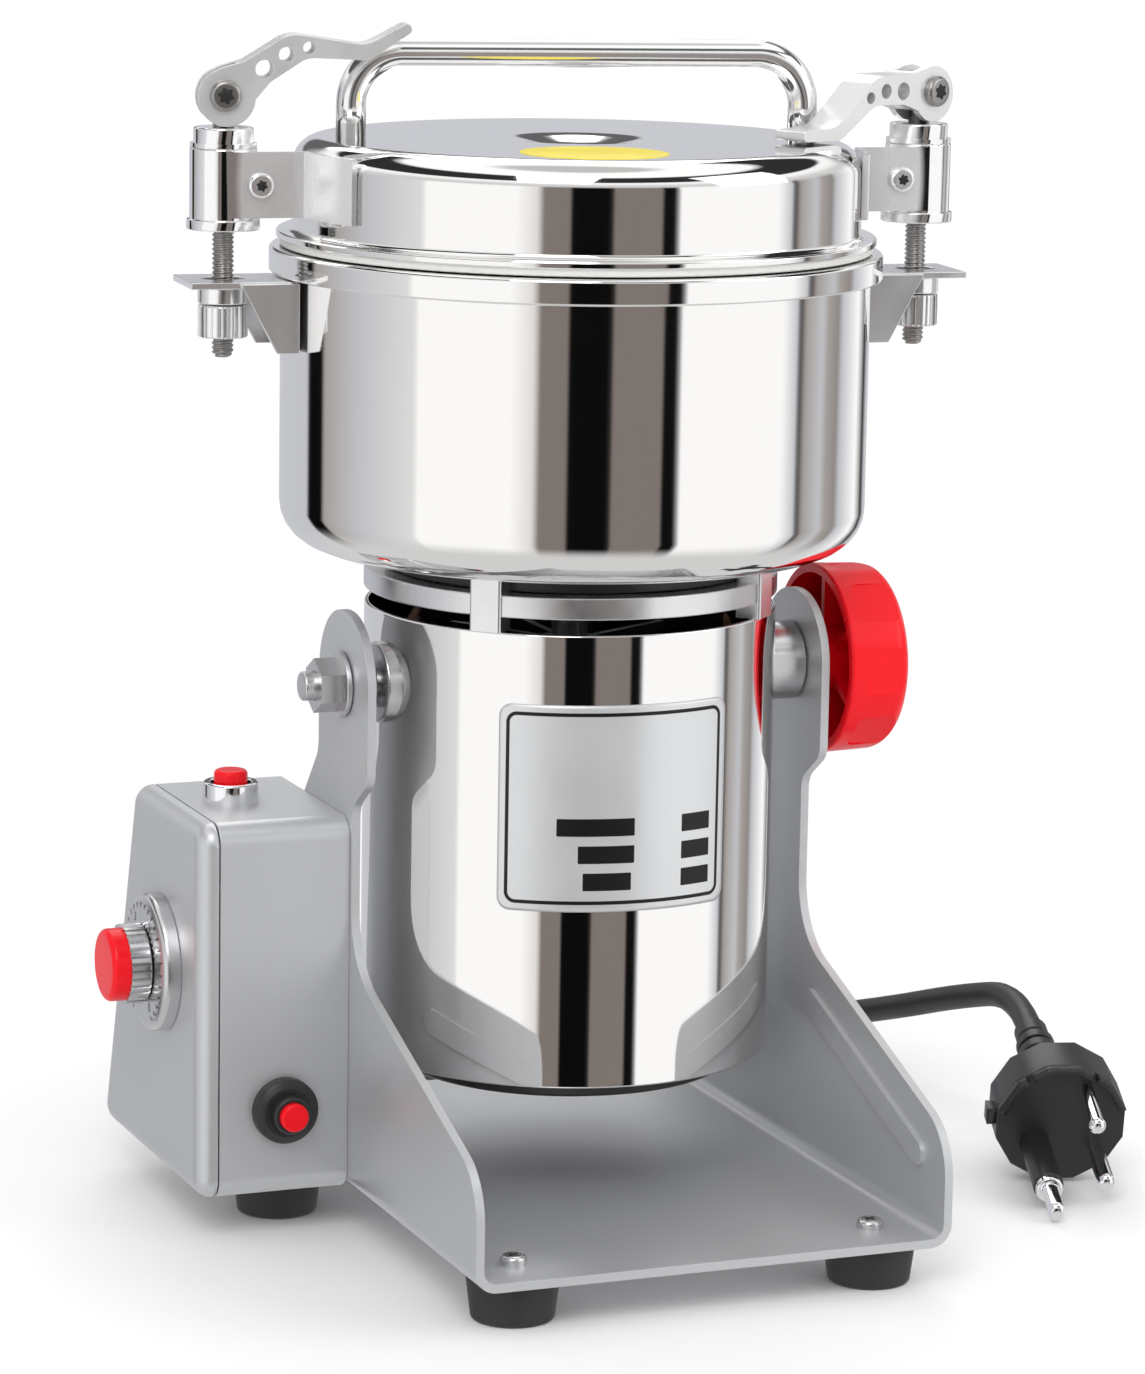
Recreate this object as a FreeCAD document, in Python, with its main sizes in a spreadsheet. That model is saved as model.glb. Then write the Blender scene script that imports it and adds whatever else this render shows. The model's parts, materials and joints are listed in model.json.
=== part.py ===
import FreeCAD, Part
import math
import os
import Sketcher
from types import SimpleNamespace

# Electric grain grinder on a tilting stand, in millimetres.
# +Z is up, -Y is the front, the timer box is on -X and the lock knob on +X.
# The origin is on the floor, at the middle of the machine's outline.

Vector = FreeCAD.Vector
Rotation = FreeCAD.Rotation

sizes = {
    # Where the axis of bowl and motor stands
    "axis_x": 8.41,
    "axis_y": -0.01,
    # Clearances
    "gap": 0.3,
    "running_gap": 0.08,
    # Stand: one bent sheet on rubber feet
    "foot_height": 12.0,
    "foot_top_radius": 12.5,
    "foot_bottom_radius": 11.0,
    "foot_x": 51.0,
    "foot_front_y": -95.0,
    "foot_rear_y": 66.0,
    "foot_bore_depth": 9.5,
    "foot_screw_radius": 2.0,
    "foot_screw_head_radius": 3.6,
    "frame_sheet": 2.4,
    "frame_width": 135.0,
    "frame_front": 111.0,
    "frame_rear": 82.0,
    "frame_bend": 6.0,
    "frame_front_rise": 30.0,
    "frame_rear_rise": 34.0,
    "neck_front": 13.3,
    "neck_rear": 27.0,
    "neck_low_rise": 64.0,
    "neck_top_rise": 108.0,
    "ear_low_rise": 116.0,
    "ear_radius": 20.0,
    "bead_width": 7.0,
    "bead_height": 1.2,
    "bead_inset": 13.0,
    # Tilt pivot
    "pivot_height": 152.0,
    "pivot_setback": 5.0,
    "pivot_radius": 4.0,
    "pivot_boss_radius": 11.0,
    "spring_space": 6.2,
    "spring_wire": 1.5,
    "spring_radius": 6.6,
    "pivot_nut_across": 13.0,
    "pivot_nut_height": 6.6,
    "pivot_washer_radius": 9.0,
    "pivot_washer_height": 1.5,
    "lock_washer_radius": 11.0,
    "lock_washer_height": 2.0,
    "knob_radius": 26.6,
    "knob_depth": 20.5,
    "knob_wall": 2.6,
    "knob_hub_radius": 9.0,
    "knob_grip_depth": 1.3,
    "knob_grip_width": 13.0,
    # Timer and switch box
    "box_left": 110.0,
    "box_front": 12.0,
    "box_top": 116.5,
    "box_rear_top": 50.0,
    "box_rear_low": 80.0,
    "box_lift": 0.6,
    "box_round": 6.0,
    "box_sheet": 1.2,
    "cover_depth": 5.6,
    "dial_y": 22.5,
    "dial_z": 72.0,
    "dial_radius": 19.0,
    "dial_height": 5.4,
    "timer_shaft_radius": 3.0,
    "timer_knob_radius": 11.0,
    "timer_knob_height": 5.8,
    "timer_cap_radius": 10.0,
    "timer_cap_height": 4.9,
    "timer_block_width": 34.0,
    "timer_block_depth": 16.0,
    "button_x": -92.0,
    "button_y": 17.0,
    "bezel_radius": 7.6,
    "bezel_height": 6.0,
    "bezel_bore": 5.6,
    "button_radius": 4.6,
    "button_proud": 3.2,
    "button_travel": 2.5,
    "switch_radius": 6.5,
    "switch_height": 20.0,
    "reset_x": -86.0,
    "reset_z": 37.0,
    "reset_ring_radius": 9.0,
    "reset_ring_height": 3.4,
    "reset_bush_radius": 5.2,
    "reset_bush_height": 8.4,
    "reset_button_radius": 3.9,
    "reset_button_proud": 2.2,
    "reset_travel": 1.8,
    "breaker_width": 16.0,
    "breaker_depth": 26.0,
    "breaker_height": 28.0,
    # Mains cord
    "cord_diameter": 7.5,
    "gland_offset": 10.5,
    "gland_z": 34.0,
    "gland_neck_radius": 6.2,
    "gland_flange_radius": 8.5,
    "gland_length": 34.0,
    "plug_radius": 19.0,
    "plug_length": 54.0,
    "plug_head_depth": 14.0,
    "plug_neck_length": 10.0,
    "pin_radius": 2.5,
    "pin_length": 23.0,
    "earth_pin_radius": 2.8,
    "earth_pin_length": 40.0,
    "earth_sleeve_radius": 4.3,
    "earth_sleeve_length": 25.0,
    # Motor housing
    "housing_radius": 56.5,
    "housing_wall": 1.2,
    "housing_bottom": 47.5,
    "housing_top": 171.0,
    "cap_drop": 5.2,
    "cap_inset": 8.5,
    "bracket_step": 0.2,
    "bracket_bottom": 175.0,
    "bracket_thickness": 6.0,
    "lug_width": 9.0,
    "lug_proud": 0.9,
    "lug_depth": 7.0,
    "shaft_radius": 5.0,
    "bearing_radius": 13.0,
    "bearing_width": 8.0,
    # Grinding bowl
    "bowl_radius": 80.0,
    "bowl_wall": 1.5,
    "bowl_floor": 2.0,
    "bowl_bottom": 186.8,
    "bowl_top": 268.0,
    "bowl_corner": 12.0,
    "rim_radius": 83.2,
    "rim_height": 6.8,
    "bowl_shaft_hole": 8.0,
    # Lid
    "gasket_height": 2.0,
    "gasket_width": 6.0,
    "lid_radius": 77.0,
    "lid_wall": 1.2,
    "lid_flange_radius": 81.3,
    "lid_flange": 2.0,
    "lid_top": 297.4,
    "lid_corner": 5.0,
    "dimple_radius": 9.0,
    "dimple_depth": 0.9,
    "handle_half_span": 62.0,
    "handle_top": 324.0,
    "handle_thickness": 6.4,
    "handle_width": 9.0,
    "handle_bend": 14.0,
    # Lid clamps
    "clamp_x": 98.0,
    "clamp_turn": -5.0,
    "handle_turn": -11.0,
    "left_swivel": -8.0,
    "right_swivel": 27.0,
    "rod_radius": 2.9,
    "rod_bottom": 240.0,
    "bracket_sheet": 1.7,
    "bracket_half_width": 11.5,
    "bracket_reach": 11.0,
    "bracket_top": 260.9,
    "bracket_low": 242.0,
    "slot_half_length": 5.6,
    "slot_half_width": 3.7,
    "thrust_height": 4.5,
    "nut_radius": 6.7,
    "nut_height": 8.8,
    "nut_travel": 4.0,
    "sleeve_radius": 9.0,
    "sleeve_bottom": 274.0,
    "sleeve_height": 18.6,
    "sleeve_flange_radius": 9.8,
    "sleeve_flange_height": 3.0,
    "collar_radius": 8.0,
    "collar_height": 5.5,
    "collar_flange_radius": 8.9,
    "collar_flange_height": 1.4,
    "cam_radius": 7.6,
    "cam_offset": 0.8,
    "lever_pivot_height": 310.0,
    "lever_width": 11.0,
    "lever_slot": 6.6,
    "eye_radius": 5.2,
    "eye_width": 6.0,
    "lever_pin_radius": 2.5,
    "lever_head_radius": 4.2,
    "left_lever_angle": 32.0,
    "rod_drop_per_degree": 0.00917,
    # Motor and blades
    "shaft_bottom": 50.0,
    "shaft_top": 226.0,
    "shield_bottom": 56.0,
    "shield_height": 6.4,
    "core_bottom": 82.0,
    "core_top": 132.0,
    "armature_radius": 27.0,
    "air_gap": 0.8,
    "stator_inset": 5.3,
    "commutator_radius": 13.0,
    "commutator_height": 11.0,
    "fan_radius": 44.0,
    "fan_bottom": 148.0,
    "fan_height": 12.0,
    "blade_length": 142.0,
    "blade_width": 22.0,
    "blade_sheet": 3.0,
    "lower_blade_z": 196.0,
    "blade_spacing": 12.0,
    "blade_nut_height": 8.0,
}


class Length:
    """A size that carries its formula along, so that sums of sizes stay tied to the sheet."""

    def __init__(self, value, formula=None):
        self.value = float(value)
        self.formula = formula or repr(float(value))

    def __float__(self):
        return self.value

    def __add__(self, other):
        other = as_length(other)
        return Length(self.value + other.value, f"({self.formula} + {other.formula})")

    def __sub__(self, other):
        other = as_length(other)
        return Length(self.value - other.value, f"({self.formula} - {other.formula})")

    def __mul__(self, other):
        other = as_length(other)
        return Length(self.value * other.value, f"({self.formula} * {other.formula})")

    def __truediv__(self, other):
        other = as_length(other)
        return Length(self.value / other.value, f"({self.formula} / {other.formula})")

    def __neg__(self):
        return self * -1

    def __radd__(self, other):
        return as_length(other) + self

    def __rsub__(self, other):
        return as_length(other) - self

    def __rmul__(self, other):
        return as_length(other) * self


def as_length(number):
    return number if isinstance(number, Length) else Length(number)


doc = FreeCAD.newDocument("grain_grinder")
sheet = doc.addObject("Spreadsheet::Sheet", "dims")
for row, (name, number) in enumerate(sizes.items(), start=1):
    sheet.set(f"A{row}", name)
    sheet.set(f"B{row}", str(number))
    sheet.setAlias(f"B{row}", name)
doc.recompute()
dim = SimpleNamespace(**{name: Length(number, f"dims.{name}") for name, number in sizes.items()})

nodes = []


def keep(item, label):
    """Names a finished sub-part and lists it for export."""
    item.Label = label
    nodes.append(item)
    return item


def bind(item, prop, length):
    item.setExpression(prop, as_length(length).formula)


def place(item, x=0.0, y=0.0, z=0.0, axis=None, angle=0.0, turn=0.0, swivel=0.0):
    """Puts an item at a point given from the bowl axis and the floor.

    The item is turned by angle about its own origin, and then the point and the item are
    turned together about the bowl axis; swivel adds to that turn for the item alone.
    """
    tilt = Rotation(Vector(*axis), float(angle)) if axis else Rotation()
    spin = Rotation(Vector(0, 0, 1), float(turn) + float(swivel))
    item.Placement = FreeCAD.Placement(Vector(), spin.multiply(tilt))
    cosine = math.cos(math.radians(float(turn)))
    sine = math.sin(math.radians(float(turn)))
    bind(item, "Placement.Base.x", dim.axis_x + x * cosine - y * sine)
    bind(item, "Placement.Base.y", dim.axis_y + x * sine + y * cosine)
    bind(item, "Placement.Base.z", z)
    return item


def new_body(name):
    return doc.addObject("PartDesign::Body", name)


def new_sketch(body, name, plane, lift=0.0):
    sketch = body.newObject("Sketcher::SketchObject", name)
    support = next(item for item in body.Origin.OriginFeatures if item.Role == plane + "_Plane")
    sketch.AttachmentSupport = (support, [""])
    sketch.MapMode = "FlatFace"
    bind(sketch, "AttachmentOffset.Base.z", lift)
    return sketch


def fix_point(sketch, geometry, position, x, y):
    """Ties one point of a sketch to its two distances from the sketch's origin."""
    for kind, length in (("DistanceX", as_length(x)), ("DistanceY", as_length(y))):
        rule = Sketcher.Constraint(kind, -1, 1, geometry, position, length.value)
        number = sketch.addConstraint(rule)
        sketch.setExpression(f"Constraints[{number}]", length.formula)


def add_arc(sketch, point, before, after, radius):
    """Adds the arc that rounds one corner, and says which of its ends comes first."""
    half = before.getAngle(after) / 2
    centre = point + (before + after).normalize() * (float(radius) / math.sin(half))
    first = point + before * (float(radius) / math.tan(half))
    last = point + after * (float(radius) / math.tan(half))
    turns_left = before.cross(after).z < 0
    start, end = (first, last) if turns_left else (last, first)
    angles = [math.atan2(spot.y - centre.y, spot.x - centre.x) for spot in (start, end)]
    if angles[1] < angles[0]:
        angles[1] += 2 * math.pi
    circle = Part.Circle(centre, Vector(0, 0, 1), float(radius))
    arc = sketch.addGeometry(Part.ArcOfCircle(circle, *angles), False)
    number = sketch.addConstraint(Sketcher.Constraint("Radius", arc, float(radius)))
    sketch.setExpression(f"Constraints[{number}]", as_length(radius).formula)
    return arc, (1, 2) if turns_left else (2, 1)


def add_loop(sketch, corners):
    """Draws a closed outline through corners (x, y) or (x, y, radius)."""
    count = len(corners)
    points = [Vector(float(corner[0]), float(corner[1]), 0) for corner in corners]
    before = [(points[i - 1] - points[i]).normalize() for i in range(count)]
    after = [(points[(i + 1) % count] - points[i]).normalize() for i in range(count)]
    trims = []
    for i, corner in enumerate(corners):
        rounded = len(corner) > 2
        trims.append(float(corner[2]) / math.tan(before[i].getAngle(after[i]) / 2) if rounded else 0.0)
    lines = []
    for i in range(count):
        j = (i + 1) % count
        start = points[i] + after[i] * trims[i]
        end = points[j] + before[j] * trims[j]
        lines.append(sketch.addGeometry(Part.LineSegment(start, end), False))
    for i, corner in enumerate(corners):
        line_in, line_out = lines[i - 1], lines[i]
        if len(corner) == 2:
            sketch.addConstraint(Sketcher.Constraint("Coincident", line_in, 2, line_out, 1))
            fix_point(sketch, line_out, 1, *corner)
            continue
        mark = sketch.addGeometry(Part.Point(points[i]), True)
        fix_point(sketch, mark, 1, corner[0], corner[1])
        arc, (near, far) = add_arc(sketch, points[i], before[i], after[i], corner[2])
        sketch.addConstraint(Sketcher.Constraint("Tangent", line_in, 2, arc, near))
        sketch.addConstraint(Sketcher.Constraint("Tangent", arc, far, line_out, 1))
        sketch.addConstraint(Sketcher.Constraint("PointOnObject", mark, 1, line_in))
        sketch.addConstraint(Sketcher.Constraint("PointOnObject", mark, 1, line_out))


def add_circle(sketch, x, y, radius):
    circle = Part.Circle(Vector(float(x), float(y), 0), Vector(0, 0, 1), float(radius))
    number = sketch.addGeometry(circle, False)
    rule = sketch.addConstraint(Sketcher.Constraint("Radius", number, float(radius)))
    sketch.setExpression(f"Constraints[{rule}]", as_length(radius).formula)
    fix_point(sketch, number, 3, x, y)


def pad(body, sketch, length, side="One side", backwards=False):
    feature = body.newObject("PartDesign::Pad", sketch.Name + "_pad")
    feature.Profile = sketch
    bind(feature, "Length", length)
    feature.SideType = side
    feature.Reversed = backwards
    return feature


def pocket(body, sketch, length=None, side="Symmetric", backwards=False):
    """Cuts a sketch through everything, or to a depth on one side."""
    feature = body.newObject("PartDesign::Pocket", sketch.Name + "_cut")
    feature.Profile = sketch
    feature.SideType = side
    feature.Reversed = backwards
    if length is None:
        feature.Type = "ThroughAll"
    else:
        bind(feature, "Length", length)
    return feature


def holes(body, name, plane, circles):
    """Cuts round holes right through, both ways from an origin plane."""
    sketch = new_sketch(body, name, plane)
    for x, y, radius in circles:
        add_circle(sketch, x, y, radius)
    return pocket(body, sketch)


def revolve(body, sketch, angle=360.0):
    feature = body.newObject("PartDesign::Revolution", sketch.Name + "_turn")
    feature.Profile = sketch
    feature.ReferenceAxis = (sketch, ["V_Axis"])
    feature.Angle = angle
    return feature


def repeat_round(body, feature, count, name):
    """Repeats a cut or pad evenly about the body's own Z axis."""
    pattern = body.newObject("PartDesign::PolarPattern", name)
    pattern.Originals = [feature]
    axis = next(item for item in body.Origin.OriginFeatures if item.Role == "Z_Axis")
    pattern.Axis = (axis, [""])
    pattern.Angle = 360
    pattern.Occurrences = count
    body.Tip = pattern
    return pattern


def soften(body, name, radius, wanted):
    """Rounds the edges of the body's last feature that the test picks."""
    doc.recompute()
    base = body.Tip
    names = [f"Edge{i}" for i, edge in enumerate(base.Shape.Edges, start=1) if wanted(edge)]
    fillet = body.newObject("PartDesign::Fillet", name)
    fillet.Base = (base, names)
    bind(fillet, "Radius", radius)
    return fillet


def turned(name, corners, **where):
    """A round piece: its half section is given as (radius, height) and turned about Z."""
    body = new_body(name)
    sketch = new_sketch(body, name + "_section", "XZ")
    add_loop(sketch, corners)
    revolve(body, sketch)
    place(body, **where)
    return body


def plate(name, plane, corners, length, side="Symmetric", lift=0.0, backwards=False, **where):
    """A flat or prismatic piece: an outline padded square to its plane."""
    body = new_body(name)
    sketch = new_sketch(body, name + "_outline", plane, lift)
    add_loop(sketch, corners)
    pad(body, sketch, length, side, backwards)
    place(body, **where)
    return body


def group(label, items):
    """Several separate solids of one kind, kept under one name."""
    bundle = doc.addObject("Part::Compound", label)
    bundle.Links = items
    return keep(bundle, label)


def fuse(name, items):
    joined = doc.addObject("Part::MultiFuse", name)
    joined.Shapes = items
    return joined


def cut(name, base, tool):
    result = doc.addObject("Part::Cut", name)
    result.Base = base
    result.Tool = tool
    return result


def block(name, x_low, x_high, y_low, y_high, z_low, z_high):
    """A rectangular block between limits given from the bowl axis and the floor."""
    box = doc.addObject("Part::Box", name)
    bind(box, "Length", as_length(x_high) - x_low)
    bind(box, "Width", as_length(y_high) - y_low)
    bind(box, "Height", as_length(z_high) - z_low)
    return place(box, x_low, y_low, z_low)


def cylinder(name, radius, height, **where):
    rod = doc.addObject("Part::Cylinder", name)
    bind(rod, "Radius", radius)
    bind(rod, "Height", height)
    return place(rod, **where)


RIGHTWARDS = {"axis": (0, 1, 0), "angle": 90.0}
LEFTWARDS = {"axis": (0, 1, 0), "angle": -90.0}
FORWARDS = {"axis": (1, 0, 0), "angle": 90.0}
BACKWARDS = {"axis": (1, 0, 0), "angle": -90.0}

half_width = dim.frame_width / 2
base_top = dim.foot_height + dim.frame_sheet
pivot_y = -dim.pivot_setback
cheek_inner = half_width - dim.frame_sheet
gland_x = -(half_width + dim.gland_offset)
cap_radius = dim.housing_radius - dim.cap_inset
bracket_radius = dim.housing_radius + dim.bracket_step
stator_radius = dim.housing_radius - dim.housing_wall - dim.stator_inset


# Stand

def make_base_frame():
    """Floor plate with a cheek bent up on each side, cut away where the bowl swings down."""
    low = dim.foot_height
    ear_front = pivot_y - dim.ear_radius
    ear_rear = pivot_y + dim.ear_radius
    ear_top = dim.pivot_height + dim.ear_radius
    front_knee = (-dim.frame_front, low + dim.frame_front_rise)
    neck_foot = (-dim.neck_front, low + dim.neck_low_rise)
    side_view = [
        (-dim.frame_front, low),
        (*front_knee, 17.0),
        (*neck_foot, 22.0),
        (-dim.neck_front, low + dim.neck_top_rise, 6.0),
        (ear_front, low + dim.ear_low_rise, 6.0),
        (ear_front, ear_top, dim.ear_radius * 0.96),
        (ear_rear, ear_top, dim.ear_radius * 0.96),
        (ear_rear, low + dim.ear_low_rise + 2, 8.0),
        (dim.neck_rear, low + dim.neck_top_rise - 4, 12.0),
        (dim.frame_rear, low + dim.frame_rear_rise, 17.0),
        (dim.frame_rear, low),
    ]
    body = plate("frame_body", "YZ", side_view, dim.frame_width)
    opening = new_sketch(body, "frame_opening", "XZ")
    inner_bend = dim.frame_bend - dim.frame_sheet
    add_loop(opening, [
        (-cheek_inner, base_top, inner_bend),
        (cheek_inner, base_top, inner_bend),
        (cheek_inner, ear_top + 10),
        (-cheek_inner, ear_top + 10),
    ])
    pocket(body, opening)
    holes(body, "pivot_holes", "YZ", [(pivot_y, dim.pivot_height, dim.pivot_radius + dim.running_gap)])
    foot_holes = []
    for x in (-dim.foot_x, dim.foot_x):
        for y in (dim.foot_front_y, dim.foot_rear_y):
            foot_holes.append((x, y, dim.foot_screw_radius + dim.running_gap))
    holes(body, "foot_holes", "XY", foot_holes)
    add_beads(body, front_knee, neck_foot)

    def is_bottom_bend(edge):
        box = edge.BoundBox
        flat = box.ZLength < 0.01 and abs(box.ZMin - float(low)) < 0.01
        return flat and abs(abs(box.Center.x) - float(half_width)) < 0.01
    soften(body, "frame_bends", dim.frame_bend, is_bottom_bend)
    return keep(body, "base_frame")


def add_beads(body, front_knee, neck_foot):
    """Pressed stiffening beads that follow the sloping front edge on the inside of each cheek."""
    run = Vector(float(neck_foot[0]) - float(front_knee[0]), float(neck_foot[1]) - float(front_knee[1]), 0)
    along = run.normalize()
    across = Vector(along.y, -along.x, 0)
    half = dim.bead_width / 2
    start = (front_knee[0] + dim.bead_inset * (along.x * 0.7 + across.x),
             front_knee[1] + dim.bead_inset * (along.y * 0.7 + across.y))
    finish = (neck_foot[0] + dim.bead_inset * (across.x - along.x),
              neck_foot[1] + dim.bead_inset * (across.y - along.y))
    corners = [
        (start[0] - half * across.x, start[1] - half * across.y, half * 0.95),
        (start[0] + half * across.x, start[1] + half * across.y, half * 0.95),
        (finish[0] + half * across.x, finish[1] + half * across.y, half * 0.95),
        (finish[0] - half * across.x, finish[1] - half * across.y, half * 0.95),
    ]
    for name, lift, backwards in (("bead_left", -cheek_inner, False), ("bead_right", cheek_inner, True)):
        sketch = new_sketch(body, name, "YZ", lift)
        add_loop(sketch, corners)
        pad(body, sketch, dim.bead_height, "One side", backwards)


def foot_places():
    """Four feet under the stand and one under the switch box."""
    spots = [(x, y, dim.foot_height) for x in (-dim.foot_x, dim.foot_x)
             for y in (dim.foot_front_y, dim.foot_rear_y)]
    spots.append(((gland_x, dim.button_y, dim.foot_height + dim.box_lift)))
    return spots


def make_feet():
    feet = []
    screws = []
    bore = dim.foot_screw_radius + dim.running_gap
    for number, (x, y, top) in enumerate(foot_places()):
        feet.append(turned(f"foot_{number}", [
            (0, 0),
            (dim.foot_bottom_radius, 0, 1.2),
            (dim.foot_top_radius, top, 0.8),
            (bore, top),
            (bore, top - dim.foot_bore_depth),
            (0, top - dim.foot_bore_depth),
        ], x=x, y=y))
        in_box = number == 4
        seat = top + (dim.box_sheet if in_box else dim.frame_sheet)
        screws.append(turned(f"foot_screw_{number}", [
            (0, 0),
            (dim.foot_screw_radius, 0),
            (dim.foot_screw_radius, seat - top + dim.foot_bore_depth - 1),
            (dim.foot_screw_head_radius, seat - top + dim.foot_bore_depth - 1),
            (dim.foot_screw_head_radius, seat - top + dim.foot_bore_depth + 1.4, 1.2),
            (0, seat - top + dim.foot_bore_depth + 1.4),
        ], x=x, y=y, z=top - dim.foot_bore_depth + 1))
    group("rubber_feet", feet)
    group("foot_screws", screws)


# Timer and switch box

box_low = dim.foot_height + dim.box_lift
cover_edge = -dim.box_left + dim.cover_depth


def box_outline(inset):
    """Side view of the box, drawn in by a wall's thickness; its back leans forward."""
    lean = (dim.box_rear_low - dim.box_rear_top) / (dim.box_top - box_low)
    corner = dim.box_round - inset
    return [
        (-dim.box_front + inset, box_low + inset, corner),
        (-dim.box_front + inset, dim.box_top - inset, corner),
        (dim.box_rear_top + inset * lean - inset * 1.04, dim.box_top - inset, corner),
        (dim.box_rear_low - inset * lean - inset * 1.04, box_low + inset, corner),
    ]


def make_box():
    wall = dim.box_sheet
    case_left = cover_edge + dim.gap
    case = new_body("box_case_body")
    outer = new_sketch(case, "case_outline", "YZ", case_left)
    add_loop(outer, box_outline(Length(0.0)))
    pad(case, outer, -half_width - case_left)
    inner = new_sketch(case, "case_inside", "YZ", case_left)
    add_loop(inner, box_outline(wall))
    pocket(case, inner, -half_width - case_left - wall, "One side", backwards=True)
    reset_hole = dim.reset_bush_radius + dim.running_gap
    front_hole = new_sketch(case, "reset_hole", "XZ", dim.box_front + 2)
    add_circle(front_hole, dim.reset_x, dim.reset_z, reset_hole)
    pocket(case, front_hole, 6.0, "One side", backwards=False)
    rear_hole = new_sketch(case, "gland_hole", "XZ", -dim.box_rear_low - 10)
    add_circle(rear_hole, gland_x, dim.gland_z, dim.gland_neck_radius + dim.gap)
    pocket(case, rear_hole, 30.0, "One side", backwards=True)
    top_hole = new_sketch(case, "button_hole", "XY", dim.box_top + 2)
    add_circle(top_hole, dim.button_x, dim.button_y, dim.switch_radius - 1)
    pocket(case, top_hole, 6.0, "One side")
    foot_hole = new_sketch(case, "box_foot_hole", "XY", box_low + 4)
    add_circle(foot_hole, gland_x, dim.button_y, dim.foot_screw_radius + dim.running_gap)
    pocket(case, foot_hole, 8.0, "One side")
    place(case)
    keep(case, "box_case")

    cover = new_body("box_cover_body")
    face = new_sketch(cover, "cover_outline", "YZ", -dim.box_left)
    add_loop(face, box_outline(Length(0.0)))
    pad(cover, face, dim.cover_depth)

    def is_outer_rim(edge):
        box = edge.BoundBox
        return box.XLength < 0.01 and abs(box.XMin + float(dim.box_left)) < 0.01
    soften(cover, "cover_rounding", dim.cover_depth - 0.4, is_outer_rim)
    hollow = new_sketch(cover, "cover_inside", "YZ", cover_edge)
    add_loop(hollow, box_outline(wall + 1.6))
    pocket(cover, hollow, dim.cover_depth - wall - 0.4, "One side", backwards=False)
    shaft_hole = new_sketch(cover, "timer_hole", "YZ", -dim.box_left - 1)
    add_circle(shaft_hole, dim.dial_y, dim.dial_z, dim.timer_shaft_radius + 1)
    pocket(cover, shaft_hole, 4.0, "One side", backwards=True)
    place(cover)
    keep(cover, "box_cover")


def make_timer():
    ring = turned("dial_ring", [
        (dim.timer_shaft_radius + 3, 0),
        (dim.dial_radius, 0),
        (dim.dial_radius, dim.dial_height - 1, 2.0),
        (dim.dial_radius - 3.2, dim.dial_height),
        (dim.timer_shaft_radius + 3, dim.dial_height),
    ], x=-dim.box_left, y=dim.dial_y, z=dim.dial_z, **LEFTWARDS)
    keep(ring, "timer_dial_ring")
    knob = new_body("timer_knob_body")
    section = new_sketch(knob, "timer_knob_section", "XZ")
    knob_low = dim.dial_height + dim.gap
    knob_top = knob_low + dim.timer_knob_height
    shaft_end = -dim.cover_depth - 8
    add_loop(section, [
        (0, shaft_end),
        (dim.timer_shaft_radius, shaft_end),
        (dim.timer_shaft_radius, knob_low),
        (dim.timer_knob_radius, knob_low, 0.6),
        (dim.timer_knob_radius, knob_top),
        (0, knob_top),
    ])
    revolve(knob, section)
    groove = new_sketch(knob, "knurl", "XY", knob_low - 1)
    rim = dim.timer_knob_radius
    add_loop(groove, [(rim - 0.9, 0), (rim + 0.6, -0.9), (rim + 0.6, 0.9)])
    knurl = pocket(knob, groove, dim.timer_knob_height + 2, "One side", backwards=True)
    repeat_round(knob, knurl, 32, "knurling")
    place(knob, x=-dim.box_left, y=dim.dial_y, z=dim.dial_z, **LEFTWARDS)
    keep(knob, "timer_knob")
    cap = turned("timer_cap", [
        (0, knob_top),
        (dim.timer_cap_radius, knob_top),
        (dim.timer_cap_radius, knob_top + dim.timer_cap_height, 1.6),
        (0, knob_top + dim.timer_cap_height),
    ], x=-dim.box_left, y=dim.dial_y, z=dim.dial_z, **LEFTWARDS)
    keep(cap, "timer_knob_cap")
    half = dim.timer_block_width / 2
    inside = -dim.box_left + dim.box_sheet + 0.4
    works = block("timer_works", inside, inside + dim.timer_block_depth,
                  dim.dial_y - half, dim.dial_y + half, dim.dial_z - half, dim.dial_z + half)
    bore = cylinder("timer_bore", dim.timer_shaft_radius + dim.running_gap, dim.cover_depth + 8 + 1,
                    x=-dim.box_left, y=dim.dial_y, z=dim.dial_z, **RIGHTWARDS)
    keep(cut("timer_mechanism_cut", works, bore), "timer_mechanism")


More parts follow.
